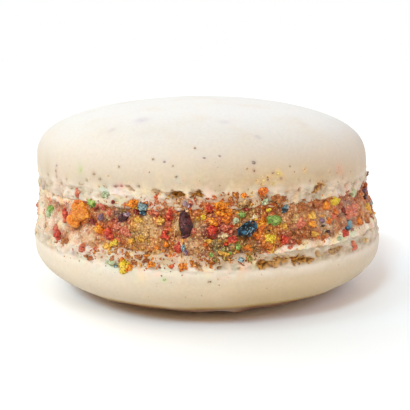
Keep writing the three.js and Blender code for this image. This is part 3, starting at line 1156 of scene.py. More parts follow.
def drift_shares(points):
    """How much of each kind lies at each point, and how much of the bed is covered there."""
    total = sum(SHARES.values())
    amount = {kind: np.full(points.shape[:-1], SHARES[kind] / total) for kind in kinds}
    cover = np.ones(points.shape[:-1])
    for centre, radius, thick, names in drifts:
        nearness = np.exp(-(np.linalg.norm(points - centre, axis=-1) / radius) ** 2)
        pull = np.clip(1.5 * nearness, 0, 0.95)
        for kind in kinds:
            wanted = names.count(kind) / len(names)
            amount[kind] = blend(amount[kind], wanted, pull)
        cover = cover * (1 - nearness * (1 - thick))
    side, spread, thick = PALE_SIDE
    turn = np.arctan2(points[..., 0], -points[..., 1])
    pale = np.exp(-(wrap(turn - math.radians(side)) / math.radians(spread)) ** 4)
    return amount, cover * (1 - pale * (1 - thick))


def rgb(hex_colour):
    """The same linear colour as an array of three numbers."""
    return np.array(srgb(hex_colour)[:3])


KIND_COLOURS = np.array([rgb(CEREAL[kind][0]) for kind in kinds])


def mean_crumb(weights):
    """The linear colour of many crumbs together, from how many there are of each kind."""
    mean = np.tensordot(weights / weights.sum(axis=0), KIND_COLOURS, axes=(0, 0))
    return RICHER_LIGHT * mean ** RICHER


def average_colour(amount, cover, turn):
    """The linear colour of all the crumbs and cream near each point."""
    crumbs = mean_crumb(np.stack([amount[kind] for kind in kinds]))
    cream = blend(rgb(BARE_CREAM), rgb(SOAKED_CREAM), soaked(turn)[..., None])
    return blend(cream, crumbs, cover[..., None])


carrier_shares, carrier_cover = drift_shares(carrier_points)
turns = np.broadcast_to(turn_grid, carrier_cover.shape)
near_colour = average_colour(carrier_shares, carrier_cover, turns)
neighbours = np.concatenate([near_colour, crispness(turns)[..., None]], -1)
add_layer(carrier_mesh, "neighbours", neighbours.reshape(-1, 4))
print(f"{len(drifts)} drifts, cover from {carrier_cover.min():.2f} to 1")

# %% Colour of the bed
BED_SHADE = 1.05  # how bright the grains of the bed are against the loose crumbs
PIT_SHADE = 0.7  # painted shade: how much darker the pits between them are
BED_CELL = 0.4  # mm, size of a grain of one colour
DYES = ["e6a898", "a8cca4", "e4cc84", "dca070"]


def dyed(points, seed):
    """Cream with pale clouds of food colour, and how strong the clouds are."""
    colour = np.zeros((len(points), 3)) + rgb(BARE_CREAM)
    strength = np.zeros(len(points))
    for number, dye in enumerate(DYES):
        cloud = smooth_step(0.05, 0.5, field(soft_noise, points, 1.4, seed + number)) * 0.5
        colour = blend(colour, rgb(dye), cloud[:, None])
        strength = strength + cloud * (1 - strength)
    return colour, strength


def read_layer(mesh, name):
    """The numbers of one attribute of a mesh."""
    values = np.zeros(len(mesh.vertices))
    mesh.attributes[name].data.foreach_get("value", values)
    return values


def mesh_points(mesh):
    """The points of a mesh in mm, and their angles from the front."""
    points = np.array([v.co[:] for v in mesh.vertices]) / MM
    return points, np.arctan2(points[:, 0], -points[:, 1])


def colour_bed(mesh):
    """Gives each grain of the bed the colour of a crumb of its drift, or of the cream between them."""
    points, turn = mesh_points(mesh)
    crumbed = read_layer(mesh, "crumbed")
    amount, cover = drift_shares(points)
    weights = np.stack([amount[kind] for kind in kinds])
    steps = np.cumsum(weights, axis=0) / weights.sum(axis=0)
    chosen = (field(cell_number, points, BED_CELL, 44) > steps).sum(axis=0).clip(0, len(kinds) - 1)
    mixed = 0.25 * KIND_COLOURS[chosen] + 0.75 * mean_crumb(weights)
    # painted shade in the pits between the grains
    mixed = mixed * (BED_SHADE * (1 - PIT_SHADE * read_layer(mesh, "pit")))[:, None]
    soft = 0.15 + 0.85 * cover
    patchy = blend(soft, field(cell_number, points, BED_CELL, 45) < soft, crispness(turn))
    shown = crumbed * (0.1 + 0.9 * cover) * patchy
    tan = (1 - crumbed) * smooth_step(-0.2, 0.5, field(soft_noise, points, 1.1, 49)) * 0.5
    share = np.maximum(crumbed * soaked(turn), tan)[:, None]
    cream = blend(dyed(points, 98)[0], rgb(SOAKED_CREAM), share)
    colour = blend(cream, mixed, shown[:, None])
    add_layer(mesh, "grain_colour", np.c_[colour, shown * crispness(turn)])


colour_bed(crumb_bed.data)

# %% Chipped shapes
def chip(name, seed, corners, flatness):
    """One chip of cereal, about 1 across: the convex hull of a few random corners."""
    random = np.random.default_rng(seed)
    spread = random.normal(size=(corners, 3))
    spread /= np.linalg.norm(spread, axis=1)[:, None]
    reach = random.uniform(0.36, 0.56, size=(corners, 1))
    spread *= reach * np.array([1, random.uniform(0.7, 1), flatness])
    shape = bmesh.new()
    for corner in spread.tolist():
        shape.verts.new(corner)
    bmesh.ops.convex_hull(shape, input=shape.verts)
    loose = [v for v in shape.verts if not v.link_faces]
    bmesh.ops.delete(shape, geom=loose, context="VERTS")
    bmesh.ops.recalc_face_normals(shape, faces=shape.faces)
    mesh = bpy.data.meshes.new(name)
    shape.to_mesh(mesh)
    shape.free()
    return bpy.data.objects.new(name, mesh)


CHIP_SHAPES = 10
GRAIN_SHAPES = 8
chips = bpy.data.collections.new("chips")
for number in range(CHIP_SHAPES):
    chips.objects.link(chip(f"chip_{number}", 70 + number, 11 + number % 4, 0.5 + 0.05 * number))
grains = bpy.data.collections.new("grains")
for number in range(GRAIN_SHAPES):
    grains.objects.link(chip(f"grain_{number}", 90 + number, 6 + number % 2, 0.8))


# %% The scatter tree
NARROWEST, WIDEST = (0.7, 0.7, 0.7), (1.25, 1.25, 1.25)  # how each chip is stretched in its three directions
FULL_TURN = 6.283  # radians


def scatter_tree():
    """Spreads chips over a surface whose "density" attribute says how many lie where."""
    tree = bpy.data.node_groups.new("scatter chips", "GeometryNodeTree")
    inputs = {
        "Density": ("NodeSocketFloat", 1e6),
        "Smallest": ("NodeSocketFloat", 0.0004),
        "Largest": ("NodeSocketFloat", 0.0012),
        "Skew": ("NodeSocketFloat", 2.0),
        "Lift": ("NodeSocketFloat", 0.15),
        "Rub": ("NodeSocketFloat", 0.5),
        "Seed": ("NodeSocketInt", 1),
        "Shapes": ("NodeSocketCollection", None),
        "Material": ("NodeSocketMaterial", None),
    }
    tree.interface.new_socket("Geometry", in_out="INPUT", socket_type="NodeSocketGeometry")
    for name, (kind, value) in inputs.items():
        socket = tree.interface.new_socket(name, in_out="INPUT", socket_type=kind)
        if value is not None:
            socket.default_value = value
    tree.interface.new_socket("Geometry", in_out="OUTPUT", socket_type="NodeSocketGeometry")
    given = add_node(tree, "NodeGroupInput").outputs

    share = add_node(tree, "GeometryNodeInputNamedAttribute", {"data_type": "FLOAT", "Name": "density"})
    amount = calculate(tree, "MULTIPLY", share.outputs["Attribute"], given["Density"])
    points = add_node(tree, "GeometryNodeDistributePointsOnFaces", {"distribute_method": "RANDOM"},
                      {"Mesh": given["Geometry"], "Density": amount, "Seed": given["Seed"]})

    def chance(low, high, offset):
        """A random value for each point, between two numbers or two vectors."""
        kind, place, result = ("FLOAT_VECTOR", 0, 0) if isinstance(low, tuple) else ("FLOAT", 2, 1)
        seed = calculate(tree, "ADD", given["Seed"], offset)
        settings = {"data_type": kind, place: low, place + 1: high}
        return add_node(tree, "FunctionNodeRandomValue", settings, {"Seed": seed}).outputs[result]

    size = calculate(tree, "POWER", chance(0.0, 1.0, 11), given["Skew"])
    span = calculate(tree, "SUBTRACT", given["Largest"], given["Smallest"])
    size = calculate(tree, "ADD", calculate(tree, "MULTIPLY", size, span), given["Smallest"])
    lift = calculate(tree, "MULTIPLY", size, given["Lift"])
    offset = add_node(tree, "ShaderNodeVectorMath", {"operation": "SCALE"},
                      {0: points.outputs["Normal"], "Scale": lift})
    raised = add_node(tree, "GeometryNodeSetPosition", {},
                      {"Geometry": points.outputs["Points"], "Offset": offset.outputs["Vector"]})
    stretch = add_node(tree, "ShaderNodeVectorMath", {"operation": "SCALE"},
                       {0: chance(NARROWEST, WIDEST, 12), "Scale": size})
    turns = chance((0, 0, 0), (FULL_TURN, FULL_TURN, FULL_TURN), 13)
    shapes = add_node(tree, "GeometryNodeCollectionInfo",
                      {"Separate Children": True, "Reset Children": True}, {"Collection": given["Shapes"]})
    placed = add_node(tree, "GeometryNodeInstanceOnPoints", {"Pick Instance": True},
                      {"Points": raised.outputs[0], "Instance": shapes.outputs[0],
                       "Rotation": turns, "Scale": stretch.outputs["Vector"]})
    shade = add_node(tree, "GeometryNodeStoreNamedAttribute",
                     {"data_type": "FLOAT", "domain": "INSTANCE", "Name": "shade"},
                     {"Geometry": placed.outputs[0], "Value": chance(0.0, 1.0, 14)})
    rubbed = calculate(tree, "MULTIPLY", chance(0.7, 1.3, 15), given["Rub"])
    dyed_over = add_node(tree, "GeometryNodeStoreNamedAttribute",
                         {"data_type": "FLOAT", "domain": "INSTANCE", "Name": "rubbed"},
                         {"Geometry": shade.outputs[0], "Value": rubbed})
    joined = add_node(tree, "GeometryNodeRealizeInstances", {}, {"Geometry": dyed_over.outputs[0]})
    coated = add_node(tree, "GeometryNodeSetMaterial", {},
                      {"Geometry": joined.outputs[0], "Material": given["Material"]})
    add_node(tree, "NodeGroupOutput", links={0: coated.outputs[0]})
    return tree


scatter = scatter_tree()
print("scatter tree:", len(scatter.nodes), "nodes")


# %% Scattering
def scattered(density, **settings):
    """A plain mesh of chips spread over the carrier. Settings are the tree's named inputs."""
    values = carrier_mesh.attributes["density"]
    values.data.foreach_set("value", density.astype(np.float32).ravel())
    modifier = carrier.modifiers.new("scatter", "NODES")
    modifier.node_group = scatter
    settings = {"Shapes": chips, **settings}  # the grains' own shapes take the place of these
    for socket in scatter.interface.items_tree:
        if socket.in_out == "INPUT" and socket.name in settings:
            modifier[socket.identifier] = settings[socket.name]
    carrier.update_tag()
    seen = carrier.evaluated_get(bpy.context.evaluated_depsgraph_get())
    mesh = bpy.data.meshes.new_from_object(seen)
    carrier.modifiers.remove(modifier)
    return mesh


# %% Puffed cereal
WHOLE_KINDS = ("navy", "purple")  # these broke into single hard chips instead of crumbly clumps
PUFF = 0.6  # mm, size of the lighter and darker parts of the dough
SUGAR_PATCH = 0.9  # mm, size of the patches of sugar and painted glints on the hard chips


def cereal(kind):
    """Extruded and coloured maize and oat dough: a porous crumb coated with sugar, with lighter flecks
    that are partly painted glints and darker pores that are partly painted shade.
    """
    main, second, sugar = CEREAL[kind]
    material, tree, shader = new_material(f"puffed cereal, {kind.replace('_', ' ')}", {
        "Roughness": 0.35,  # the sugar coat of the cereal
        "Specular IOR Level": 0.32,
        "Subsurface Weight": 0.15,
        "Subsurface Radius": (1.0, 0.5, 0.25),
        "Subsurface Scale": 0.3 * MM,
    })
    spot = add_node(tree, "ShaderNodeTexCoord").outputs["Object"]
    shade = add_node(tree, "ShaderNodeAttribute", {"attribute_name": "shade"}).outputs["Fac"]
    settings = {"Scale": 1 / (PUFF * MM), "Detail": 3.0, "Roughness": 0.6}
    puffs = add_node(tree, "ShaderNodeTexNoise", settings, {"Vector": spot}).outputs["Fac"]
    colour = mix_colour(tree, ramp(tree, puffs, 0.48, 0.66), srgb(main), srgb(second))
    rubbed = add_node(tree, "ShaderNodeAttribute", {"attribute_name": "rubbed"}).outputs["Fac"]
    neighbours = add_node(tree, "ShaderNodeAttribute", {"attribute_name": "neighbours"}).outputs
    crisp = neighbours["Alpha"]
    rubbed = calculate(tree, "MULTIPLY", rubbed, ramp(tree, crisp, CREAMY_CRISP, 1.0, 1.3, 1.0))
    colour = mix_colour(tree, rubbed, colour, neighbours["Color"])
    colour = mix_colour(tree, 1.0, colour, ramp(tree, shade, 0.0, 1.0, 0.70, 1.12), "MULTIPLY")
    # painted glints on the sugar flecks and painted shade in the pores
    bare, height = sugary(tree, spot, colour, sugar, 0.75, 1.0)
    if kind in WHOLE_KINDS:  # their sugar and its painted glints lie in patches
        patches = add_node(tree, "ShaderNodeTexNoise", {"Scale": 1 / (SUGAR_PATCH * MM), "Detail": 1.0},
                           {"Vector": spot}).outputs["Fac"]
        bare = mix_colour(tree, ramp(tree, patches, 0.42, 0.54), colour, bare)
    finish_surface(tree, shader, mix_colour(tree, crisp, colour, bare), height, 0.7, 0.1)
    return material


# %% Loose crumbs of every kind
# Density counts crumbs per square metre where there are most of them. A higher Skew makes the small ones
# outnumber the big ones, Lift is how far they stand out against their size, and Rub is how much of
# their neighbours' colour they took on.
PER_MM2 = 1e6  # times this, a number per square millimetre is one per square metre
BAND_CRUMBS = {"Density": 3.6 * PER_MM2, "Smallest": 0.36 * MM, "Largest": 1.3 * MM, "Skew": 2.0,
               "Lift": -0.18, "Rub": 0.6}
BAND_GRAINS = {"Density": 10.0 * PER_MM2, "Smallest": 0.14 * MM, "Largest": 0.4 * MM, "Skew": 1.5,
               "Lift": -0.05, "Rub": 0.95, "Shapes": grains}
DUST = {"Density": 1.3 * PER_MM2, "Smallest": 0.08 * MM, "Largest": 0.36 * MM, "Skew": 2.5,
        "Lift": -0.1, "Rub": 0.4}
EXTRA_GRAINS = {  # some kinds crush finer than the others
    "cream": 0.06, "golden": 0.14, "yellow": 0.04, "brown": 0.05, "rust": 0.04, "dark_red": 0.02,
}
pieces = {}


def scatter_kinds(cleared):
    """Loose crumbs, small grains and dust of every kind. cleared is 0 where a landmark lies."""
    for number, kind in enumerate(kinds):
        share = carrier_shares[kind]
        seed = 200 + 31 * number
        small = (share + EXTRA_GRAINS.get(kind, 0)) / (1 + sum(EXTRA_GRAINS.values()))
        pieces[kind] = [
            scattered(share * in_band * carrier_cover * cleared, Seed=seed, **BAND_CRUMBS),
            scattered(small * in_band * carrier_cover ** 2, Seed=seed + 5, **BAND_GRAINS),
            scattered(share * dusted * cleared, Seed=seed + 9, **DUST),
        ]
        print(f"{kind}: {[len(mesh.polygons) for mesh in pieces[kind]]} faces")


# %% [markdown]
# ### Crumbs with a place of their own
#
# Some crumbs are big or bright enough to be landmarks: a blue one the size of a mustard seed, a dark
# purple flake, an orange lump. Each is listed with its place and size in the picture, and a ray from
# the camera finds the spot on the macaron that it sits on. It is a small ball pushed into lumps and
# grains, flattened against the surface. The far side has landmarks of its own, drawn at random.

# %% Landmarks
LANDMARKS = {  # x, y, width, height in pixels of the picture, and in some cases a tilt in degrees
    "orange": [
        (80, 213, 18, 28), (77, 222, 10, 13), (84, 204, 9, 11), (132.5, 203, 8, 13, -40), (100, 230, 8, 9),
        (130, 268, 6, 9), (151, 264, 7, 8), (166.4, 244.5, 5, 5), (222.3, 204.8, 12, 8), (218, 213, 9, 8),
        (229, 212, 8, 8), (243.7, 195.6, 5, 5), (261.5, 223, 7, 8), (325.8, 206.7, 8, 8), (312, 224, 7, 8),
        (358.3, 221.6, 6, 7), (213, 222, 7, 7),
    ],
    "deep_orange": [
        (82, 202, 11, 5), (121.8, 259.8, 5, 5), (157, 248, 7, 4), (205.4, 244.5, 5, 4),
        (262.3, 191.8, 10, 9), (260.7, 229, 7, 9), (328.8, 221.2, 4, 6), (334.6, 211.3, 4, 6),
        (257.5, 236.5, 5, 6), (226, 220, 7, 7), (247.5, 248, 9, 6),
    ],
    "rust": [
        (65, 241.5, 6, 6), (139, 257, 7, 6), (146, 260.6, 6, 5), (134, 262, 6, 5), (208, 248.4, 4, 4),
        (278.3, 199, 11, 9), (315.8, 203.6, 8, 8), (305.5, 230, 6, 11), (298, 233, 8, 8),
        (364.8, 218.5, 5, 12), (301, 207.5, 10, 8), (230.3, 199, 5, 5), (90.4, 257.6, 4, 4),
    ],
    "red": [
        (58.8, 234.5, 9, 11), (65.5, 213.5, 4, 8), (109, 233, 7, 10), (169.5, 214, 6, 12),
        (164.5, 234.5, 7, 11), (177.5, 248.4, 7, 10), (209.6, 208.6, 7, 8), (232, 239.6, 13, 6, 20),
        (285.2, 239.6, 8, 10), (344.9, 233, 6, 6), (211.5, 230.5, 9, 8), (225.7, 243.5, 5, 4),
    ],
    "dark_red": [
        (96, 207.5, 5, 5), (113, 201.7, 3, 4), (136, 211, 5, 8), (114, 220.5, 5, 3), (93.5, 222, 6, 5),
        (109.5, 238.5, 5, 4), (191.7, 204.4, 4, 4), (211.6, 235, 9, 6), (246.4, 209, 7, 3),
        (342.8, 209.4, 4, 6),
    ],
    "coral": [
        (190.5, 202.5, 4, 3), (57, 228, 8, 7), (66, 219.5, 5, 6), (102.4, 205, 8, 8), (109, 213, 6, 8),
        (125.5, 231, 13, 9), (82, 249.5, 4, 8), (153.3, 212.4, 9, 6), (169, 224, 5, 6),
        (194.6, 230.8, 5, 6), (224.5, 228, 9, 7), (299, 224, 10, 10), (333, 216.6, 5, 6),
        (350, 211.3, 14, 11), (353, 245.7, 4, 9), (78, 193, 3.5, 10), (95.8, 249, 3, 3), (118, 227, 7, 6),
        (355, 207, 7, 6),
    ],
    "golden": [
        (138, 220, 8, 5), (97, 228.5, 5, 6), (107.5, 247, 8, 7), (131, 241, 6, 6), (160, 221, 6, 9),
        (198, 218.5, 4, 4), (208.5, 241.5, 7, 4), (223.4, 253.3, 10, 5), (312, 215, 7, 9),
        (284, 226.6, 8, 6), (314.3, 234, 8, 5), (367, 208, 5, 10), (142, 239, 8, 7),
    ],
    "tan": [
        (147, 234, 8, 7), (158, 252, 10, 4), (243.3, 202.8, 5, 6), (365.6, 240.3, 4, 3), (296, 219, 8, 8),
    ],
    "cream": [(187, 209.5, 3, 4), (223.4, 235.4, 11, 4, 10), (231, 238, 8, 1.6, 25), (254.5, 217.8, 6, 5)],
    "yellow": [
        (114.5, 242, 7, 6), (203.5, 218, 5, 5), (267.6, 210, 5, 5), (269.5, 238.4, 12, 9),
        (333.8, 201.3, 12, 8), (124.5, 265.5, 10, 13), (254.8, 218.9, 4, 4),
    ],
    "green": [
        (92.4, 203, 8, 8), (241.8, 214.7, 7, 7), (274, 221, 11, 14), (238, 247, 5, 6), (230, 253.3, 3, 3),
        (211.2, 255.3, 5, 4), (51.5, 209, 6, 8),
    ],
    "mint": [
        (105.4, 195, 6, 6), (50, 213, 6, 8), (265, 202, 8, 6), (235.7, 221, 6, 7), (110.7, 262.5, 6, 4),
        (339.2, 238.4, 5, 4), (351.8, 193, 6, 8),
    ],
    "sky": [
        (142.3, 206.5, 8, 9), (117, 266.8, 7, 3), (348.6, 224.5, 5, 7), (183.6, 248, 4, 7),
        (241, 259, 5, 5), (285.5, 208, 6, 5),
    ],
    "navy": [(246, 228.5, 17, 14, 10), (143, 212.5, 6, 5), (284, 210.5, 5, 4), (346.8, 228, 3, 4)],
    "purple": [
        (186, 224, 13, 21), (185.5, 234.5, 7, 8, 10), (123.4, 218.5, 7, 7), (269, 230.5, 2.5, 2.5),
        (327.3, 231.2, 3, 2), (322.7, 226, 2.5, 2), (363.3, 196.5, 4.5, 7),
    ],
    "mauve": [
        (184.6, 203.5, 4, 5, -30), (189, 206.5, 4, 3, 20), (183.5, 210, 3, 5), (101, 217, 6, 7),
        (127.5, 215, 6, 5), (186.6, 253, 4, 5), (321.2, 220, 5, 7), (363.6, 188.3, 4.5, 8),
    ],
    "brown": [(127.5, 248, 2.5, 3), (148, 254, 5, 4), (86, 256, 4, 3)],
}
LANDMARK_SIZE = 1.1  # the whole crumb against the part that shows
FILM = 0.03  # how much cream lies over a crumb where the side is least crisp
SUNK = 0.32  # how much of a crumb's thickness lies in the surface
CRUMB_LUMP, CRUMB_CORNER = 0.9, 1.1  # sizes of its lumps and corners against half its size
CRUMB_GRAIN = 0.34  # mm, size of the bumps on it
CRUMB_ROUGHNESS = 0.3  # mm, size of the roughness on them
FAR_LANDMARKS = 240
FAR_LANDMARK_TURNS = (86, 272)  # degrees from the front
FAR_LANDMARK_HEIGHTS = (9.3, 15.4)


def ball(detail):
    """The points and faces of a ball 1 across."""
    shape = bmesh.new()
    bmesh.ops.create_icosphere(shape, subdivisions=detail, radius=0.5)
    points = np.array([v.co[:] for v in shape.verts])
    faces = [[v.index for v in face.verts] for face in shape.faces]
    shape.free()
    return points, faces


BALLS = {detail: ball(detail) for detail in (2, 3, 4)}


def faceted(directions, seed):
    """How far a chip with flat broken faces reaches in each direction, about 1 on the average."""
    random = np.random.default_rng(seed + 2)
    faces = random.normal(size=(16, 3))
    faces /= np.linalg.norm(faces, axis=1)[:, None]
    away = random.uniform(0.72, 1.0, size=16)
    reach = away / np.maximum(directions @ faces.T, 0.2)
    return np.minimum(reach.min(axis=1), 1.25)


def directions_on(normal, tilt):
    """Two directions on a surface: across and upward, both turned by a tilt in degrees."""
    across = np.cross([0, 0, 1], normal)
    across /= np.linalg.norm(across)
    upward = np.cross(normal, across)
    turn = math.radians(tilt)
    return (math.cos(turn) * across + math.sin(turn) * upward,
            math.cos(turn) * upward - math.sin(turn) * across)


def crumb_mesh(kind, place, normal, wide, tall, tilt, seed, buried=0.0):
    """One lumpy crumb of that size in mm, a third of it sunk into the surface.

    A buried one lies under a film of the pale skin, and takes that share of its colour.
    """
    points, faces = BALLS[4 if max(wide, tall) > 1.3 else 3 if max(wide, tall) > 0.5 else 2]
    random = np.random.default_rng(seed)
    thick = 0.6 * min(wide, tall) + 0.3
    first, second = directions_on(normal, tilt)
    directions = points * 2
    lumps = field(soft_noise, directions, CRUMB_LUMP, seed)
    corners = field(cell_walls, directions, CRUMB_CORNER, seed + 1)
    if kind in WHOLE_KINDS:
        body = points * (faceted(directions, seed) * (1 + 0.15 * lumps))[:, None]
    else:
        lumpy = 1 + 0.5 * lumps - 0.22 * corners
        body = points * (0.5 * faceted(directions, seed) + 0.5 * lumpy)[:, None]
    sized = body[:, :1] * wide * first + body[:, 1:2] * tall * second + body[:, 2:] * thick * normal
    bumps = field(grain_height, sized + place, CRUMB_GRAIN, 3)
    outward = directions[:, :1] * first + directions[:, 1:2] * second + directions[:, 2:] * normal
    rough = field(rough_noise, sized + place, CRUMB_ROUGHNESS, 7)
    sized = sized + outward * (0.09 * (bumps - 0.4) + 0.05 * rough)[:, None]
    centre = place + normal * thick * (0.5 - SUNK)
    mesh = bpy.data.meshes.new(kind)
    mesh.from_pydata(((sized + centre) * MM).tolist(), [], faces)
    crisp = crispness(math.atan2(place[0], -place[1]))
    add_layer(mesh, "shade", np.full(len(points), random.uniform(0.35, 0.75)))
    add_layer(mesh, "rubbed", np.full(len(points), max(buried, FILM * (1 - crisp))))
    add_layer(mesh, "neighbours", np.tile([*rgb(BARE_CREAM), crisp], (len(points), 1)))
    return mesh


CLUMP_FROM = 0.75  # mm from which a crumb is broken into several
CLUMP_OF = 5


def clump(kind, place, normal, wide, tall, tilt, seed):
    """A crumb of that size in mm. A big one is a clump of several that cling together."""
    if max(wide, tall) < CLUMP_FROM or kind in WHOLE_KINDS:
        return [crumb_mesh(kind, place, normal, wide, tall, tilt, seed)]
    random = np.random.default_rng(seed + 3)
    first, second = directions_on(normal, tilt)
    made = [crumb_mesh(kind, place, normal, 0.72 * wide, 0.72 * tall, tilt, seed)]
    for number in range(CLUMP_OF):
        angle = 2 * math.pi * (number + random.uniform(0, 0.8)) / CLUMP_OF
        reach = random.uniform(0.2, 0.4)
        shift = first * reach * wide * math.cos(angle) + second * reach * tall * math.sin(angle)
        share = random.uniform(0.25, 0.5)
        small = (share * wide + 0.1, share * tall + 0.1, tilt + random.uniform(-40, 40))
        made.append(crumb_mesh(kind, place + shift - normal * 0.05, normal, *small, seed + 13 * number + 5))
    return made


# %% Near and far landmarks
CLEARING = 0.42  # radius of the place that a landmark keeps for itself, against its size

cleared = np.ones(carrier_points.shape[:2])
for places in LANDMARKS.values():
    for x, y, wide, tall, *_ in places:
        place, _, scale = seen_place(x, y)
        reach = CLEARING * math.sqrt(wide * tall) / scale
        distance = np.linalg.norm(carrier_points - place, axis=-1)
        cleared *= 1 - 0.92 * np.exp(-(distance / reach) ** 4)
scatter_kinds(cleared)

seed = 1000
for kind, places in LANDMARKS.items():
    for x, y, wide, tall, *tilt in places:
        place, normal, scale = seen_place(x, y)
        normal = normal + np.array([0, 0, -0.3 * normal[2]])  # it lies more upright than the bumps do
        normal /= np.linalg.norm(normal)
        seed += 7
        facing = max(abs(float(np.dot(np.array(view_ray(x, y)), normal))), 0.55)
        wide, tall = LANDMARK_SIZE * wide / scale / facing, LANDMARK_SIZE * tall / scale
        pieces[kind] += clump(kind, place, normal, wide, tall, tilt[0] if tilt else 0.0, seed)
landmark_kinds = [kind for kind, places in LANDMARKS.items() for _ in places]
for number in range(FAR_LANDMARKS):
    turn = math.radians(random.uniform(*FAR_LANDMARK_TURNS))
    place, normal = outermost(turn, random.uniform(*FAR_LANDMARK_HEIGHTS))
    wide, tall = 0.45 + 1.4 * random.uniform(size=2) ** 1.6
    seed += 7
    tilt = random.uniform(0, 180)
    kind = str(random.choice(landmark_kinds))
    pieces[kind] += clump(kind, np.array(place), np.array(normal), wide, tall, tilt, seed)
print("landmarks:", len(landmark_kinds), "near and", FAR_LANDMARKS, "far")

# %% [markdown]
# ### Dye and specks on the shells
#
# Where crumbs were pressed in, a paste of the finest ones and cream fills the feet, and the food
# colours bled into the meringue as pale pastel clouds. Ground cereal in the batter shows as faint
# specks on the skin. The paste and the clouds are an attribute of the shells, a colour with its
# strength, because they have no thickness. The specks are real chips, sunk more than half into the
# skin.

# %% Specks
SPECKS = {  # x, y, width, height in pixels of the picture
    "husk": [
        (48, 174.5, 5.5, 4), (56.8, 177, 3.4, 3.4), (61.3, 182.3, 4, 4), (81.3, 183.4, 7, 3),
        (86.6, 180, 3, 2), (104.6, 186, 5, 3), (60.8, 195.8, 8, 3.2), (53, 195.6, 4, 2.6),
        (137.9, 186, 4, 2.4), (66.7, 179.5, 3, 3), (209.6, 281.7, 3, 2.4), (119, 167, 2.4, 2),
        (176, 177, 3, 2.4), (173, 166, 2, 2), (153, 159, 2, 2), (72, 188, 3.4, 2), (90, 192, 4, 2.4),
        (338, 182, 2.4, 2), (352, 184, 3, 2), (290, 166, 2, 2),
    ],
    "brown": [
        (94, 173.6, 3.4, 3), (99.8, 179, 3, 2.6), (195, 148, 2, 1.8), (281, 178.4, 3.2, 2.6),
        (273, 173, 3, 2.4), (343, 177.6, 3.4, 2.4), (254, 170.4, 3, 3), (310, 181, 2.4, 2),
        (299, 190, 2, 4), (88, 254, 3, 3), (268, 180, 2, 2), (56, 171, 2, 2),
    ],
    "purple": [(254, 162.5, 3, 2.4)],
    "mauve": [
        (43.4, 186.8, 4, 4), (220, 156, 2.2, 2), (204, 158, 2.2, 1.8), (73, 252.6, 3, 3),
        (120.7, 251.5, 3, 3), (164, 162, 2.4, 2), (57, 165.7, 2, 1.6),
    ],
    "tan": [(247, 169, 3, 2), (262, 177, 3, 2.4), (330, 172, 3, 2), (108, 176, 3, 2)],
    "dark_red": [(115.7, 186, 6, 2.4), (87, 245, 2, 2)],
    "red": [(121.8, 185.6, 3, 2.6), (103, 251, 2.6, 2)],
    "green": [(80.5, 169.5, 3, 2.4), (164.4, 279.8, 3, 2.6)],
    "yellow": [(279, 173.8, 5, 3), (264, 181, 3, 2.4), (273, 184, 3, 2)],
    "coral": [(339, 169.2, 4, 4), (95.4, 249, 3, 3), (346, 187, 3, 2)],
    "golden": [(262, 185, 3.6, 3), (304.5, 169.5, 4, 3), (268, 177, 3, 2.4), (257, 181, 3, 3)],
}
HALO = 0.28  # strength of the dye round each speck

# %% Stains
STAINS = [  # x, y, width, height in pixels of the picture, strength, colour
    (142, 120, 17, 5, 0.35, "a894a8"),
    (112, 130, 11, 4, 0.30, "a89aa4"),
    (224, 122, 14, 4, 0.28, "ae9aa6"),
    (258, 137, 7, 3, 0.45, "8f86a0"),
    (304, 124, 9, 3, 0.18, "b09aa4"),
    (142, 134, 20, 6, 0.12, "b4a89a"),
    (178, 180, 9, 9, 0.32, "a8c0b8"),
    (80, 169, 8, 8, 0.40, "a8b870"),
    (70, 176, 14, 6, 0.18, "c8c49a"),
    (60, 188, 18, 9, 0.32, "e8ccd0"),
    (104, 190, 12, 9, 0.42, "acd6c6"),
    (116, 191, 13, 7, 0.30, "d4c4dc"),
    (120, 186, 9, 5, 0.38, "d49a90"),
    (340, 170, 8, 7, 0.30, "d89a84"),
    (339, 238, 9, 7, 0.35, "a8c8a4"),
    (110, 262, 14, 8, 0.25, "a4d4cc"),
    (164, 280, 7, 6, 0.45, "a4c890"),
    (279, 173, 8, 6, 0.30, "e0c860"),
    (360, 190, 5, 9, 0.25, "90a894"),
    (70, 250, 16, 8, 0.15, "e4c4bc"),
    (94, 246, 14, 8, 0.20, "e8b8ac"),
    (252, 194, 16, 9, 0.40, "d8b468"),
    (274, 177, 34, 18, 0.25, "dcb884"),
    (60, 178, 30, 14, 0.20, "c8a888"),
    (345, 181, 14, 12, 0.20, "d0a890"),
]
PRESSED = 0.45  # strength of the paste of fine crumbs and cream on the feet inside the band
PASTE_COVER = 0.45  # how much of that paste is crumbs
DYE_REACH = 1.4  # mm past the band within which most of the food colour lies
STAINED_FROM = 19  # mm from the axis, so that only the sides of the shells are stained


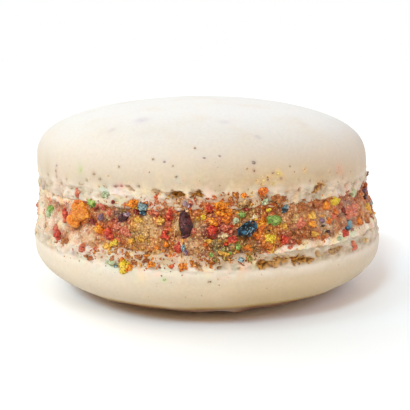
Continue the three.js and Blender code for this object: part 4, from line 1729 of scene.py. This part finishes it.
def stain_shell(mesh, seed):
    """The "stain" attribute: pastel dye near the band, and the clouds with a place of their own."""
    points, turn = mesh_points(mesh)
    far = np.maximum(points[:, 2] - band_edge(turn, 1), band_edge(turn, 2) - points[:, 2])
    on_side = np.hypot(points[:, 0], points[:, 1]) > STAINED_FROM
    colour, strength = dyed(points, seed)
    strength = strength * np.exp(-np.clip(far, 0, None) / DYE_REACH) * on_side
    colour = colour * strength[:, None]
    pressed = PRESSED * smooth_step(0.3, -0.5, far) * on_side * (0.3 + 0.7 * soaked(turn))
    amount, cover = drift_shares(points)
    colour = blend(colour, average_colour(amount, PASTE_COVER * cover, turn), pressed[:, None])
    strength = strength + pressed * (1 - strength)
    halos = [(x, y, wide * 2, tall * 2, HALO, CEREAL[kind][1])
             for kind, places in SPECKS.items() for x, y, wide, tall in places]
    for x, y, wide, tall, thick, dye in STAINS + halos:
        place, normal, scale = seen_place(x, y)
        ray = np.array(view_ray(x, y))
        slant = max(abs(float(np.dot(ray, normal))), 0.15)
        across = np.abs((points - place) @ np.array([1, 0, 0])) / (wide / scale / 2)
        along = np.linalg.norm((points - place)[:, 1:], axis=1) / (tall / scale / 2 / slant)
        cloud = np.exp(-(across ** 2 + along ** 2) * 1.2) * thick
        colour = blend(colour, rgb(dye), cloud[:, None])
        strength = strength + cloud * (1 - strength)
    colour = colour / np.maximum(strength, 1e-4)[:, None]
    add_layer(mesh, "stain", np.c_[np.clip(colour, 0, 1), strength])


stain_shell(upper_shell.data, 91)
stain_shell(lower_shell.data, 96)

# %% Sunk specks
SPECK_SIZE = 1.3  # the whole speck against the part that shows
BURIED = 0.4  # how much of the pale skin's colour lies over it
for kind, places in SPECKS.items():
    for x, y, wide, tall in places:
        place, normal, scale = seen_place(x, y)
        seed += 7
        wide, tall = SPECK_SIZE * wide / scale, SPECK_SIZE * tall / scale
        place = place - normal * (0.42 * min(wide, tall) + 0.05)
        pieces[kind].append(crumb_mesh(kind, place, normal, wide, tall, 0.0, seed, BURIED))

# %% Fine specks
FINE_SPECKS = {  # how many there are per square millimetre
    "husk": 0.10, "brown": 0.03, "tan": 0.12, "golden": 0.08, "mauve": 0.02, "rust": 0.02,
}


def cluster(seed, size):
    """A factor from about a tenth to about ten that gathers things into patches of a size in mm."""
    return np.exp(3.0 * field(soft_noise, carrier_points, size, seed))


skin = (1 - in_band) * (0.25 + np.exp(-np.clip(outside_band, 0, None) / 2.0))
for number, (kind, amount) in enumerate(FINE_SPECKS.items()):
    pieces[kind].append(scattered(skin * cluster(60 + number, 4.0), Density=amount * PER_MM2,
                                  Seed=77 + number, Smallest=0.08 * MM, Largest=0.26 * MM, Skew=2.0,
                                  Lift=-0.15))

# %% [markdown]
# ## Finished pieces
#
# Each kind of crumb becomes one piece with its own material. Nothing on a macaron moves, so they
# ride on the only body. The carrier and the shapes that were scattered have done their work.

# %% Finished pieces
def joined_mesh(name, meshes):
    """One mesh from several."""
    whole = bmesh.new()
    for mesh in meshes:
        whole.from_mesh(mesh)
    result = bpy.data.meshes.new(name)
    whole.to_mesh(result)
    whole.free()
    return result


for kind, meshes in pieces.items():
    piece = finish_object(f"crumbs_{kind}", joined_mesh(f"crumbs_{kind}", meshes), cereal(kind))
    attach(piece, "root")

bpy.data.objects.remove(carrier)
for shape_object in list(chips.objects) + list(grains.objects):
    bpy.data.objects.remove(shape_object)
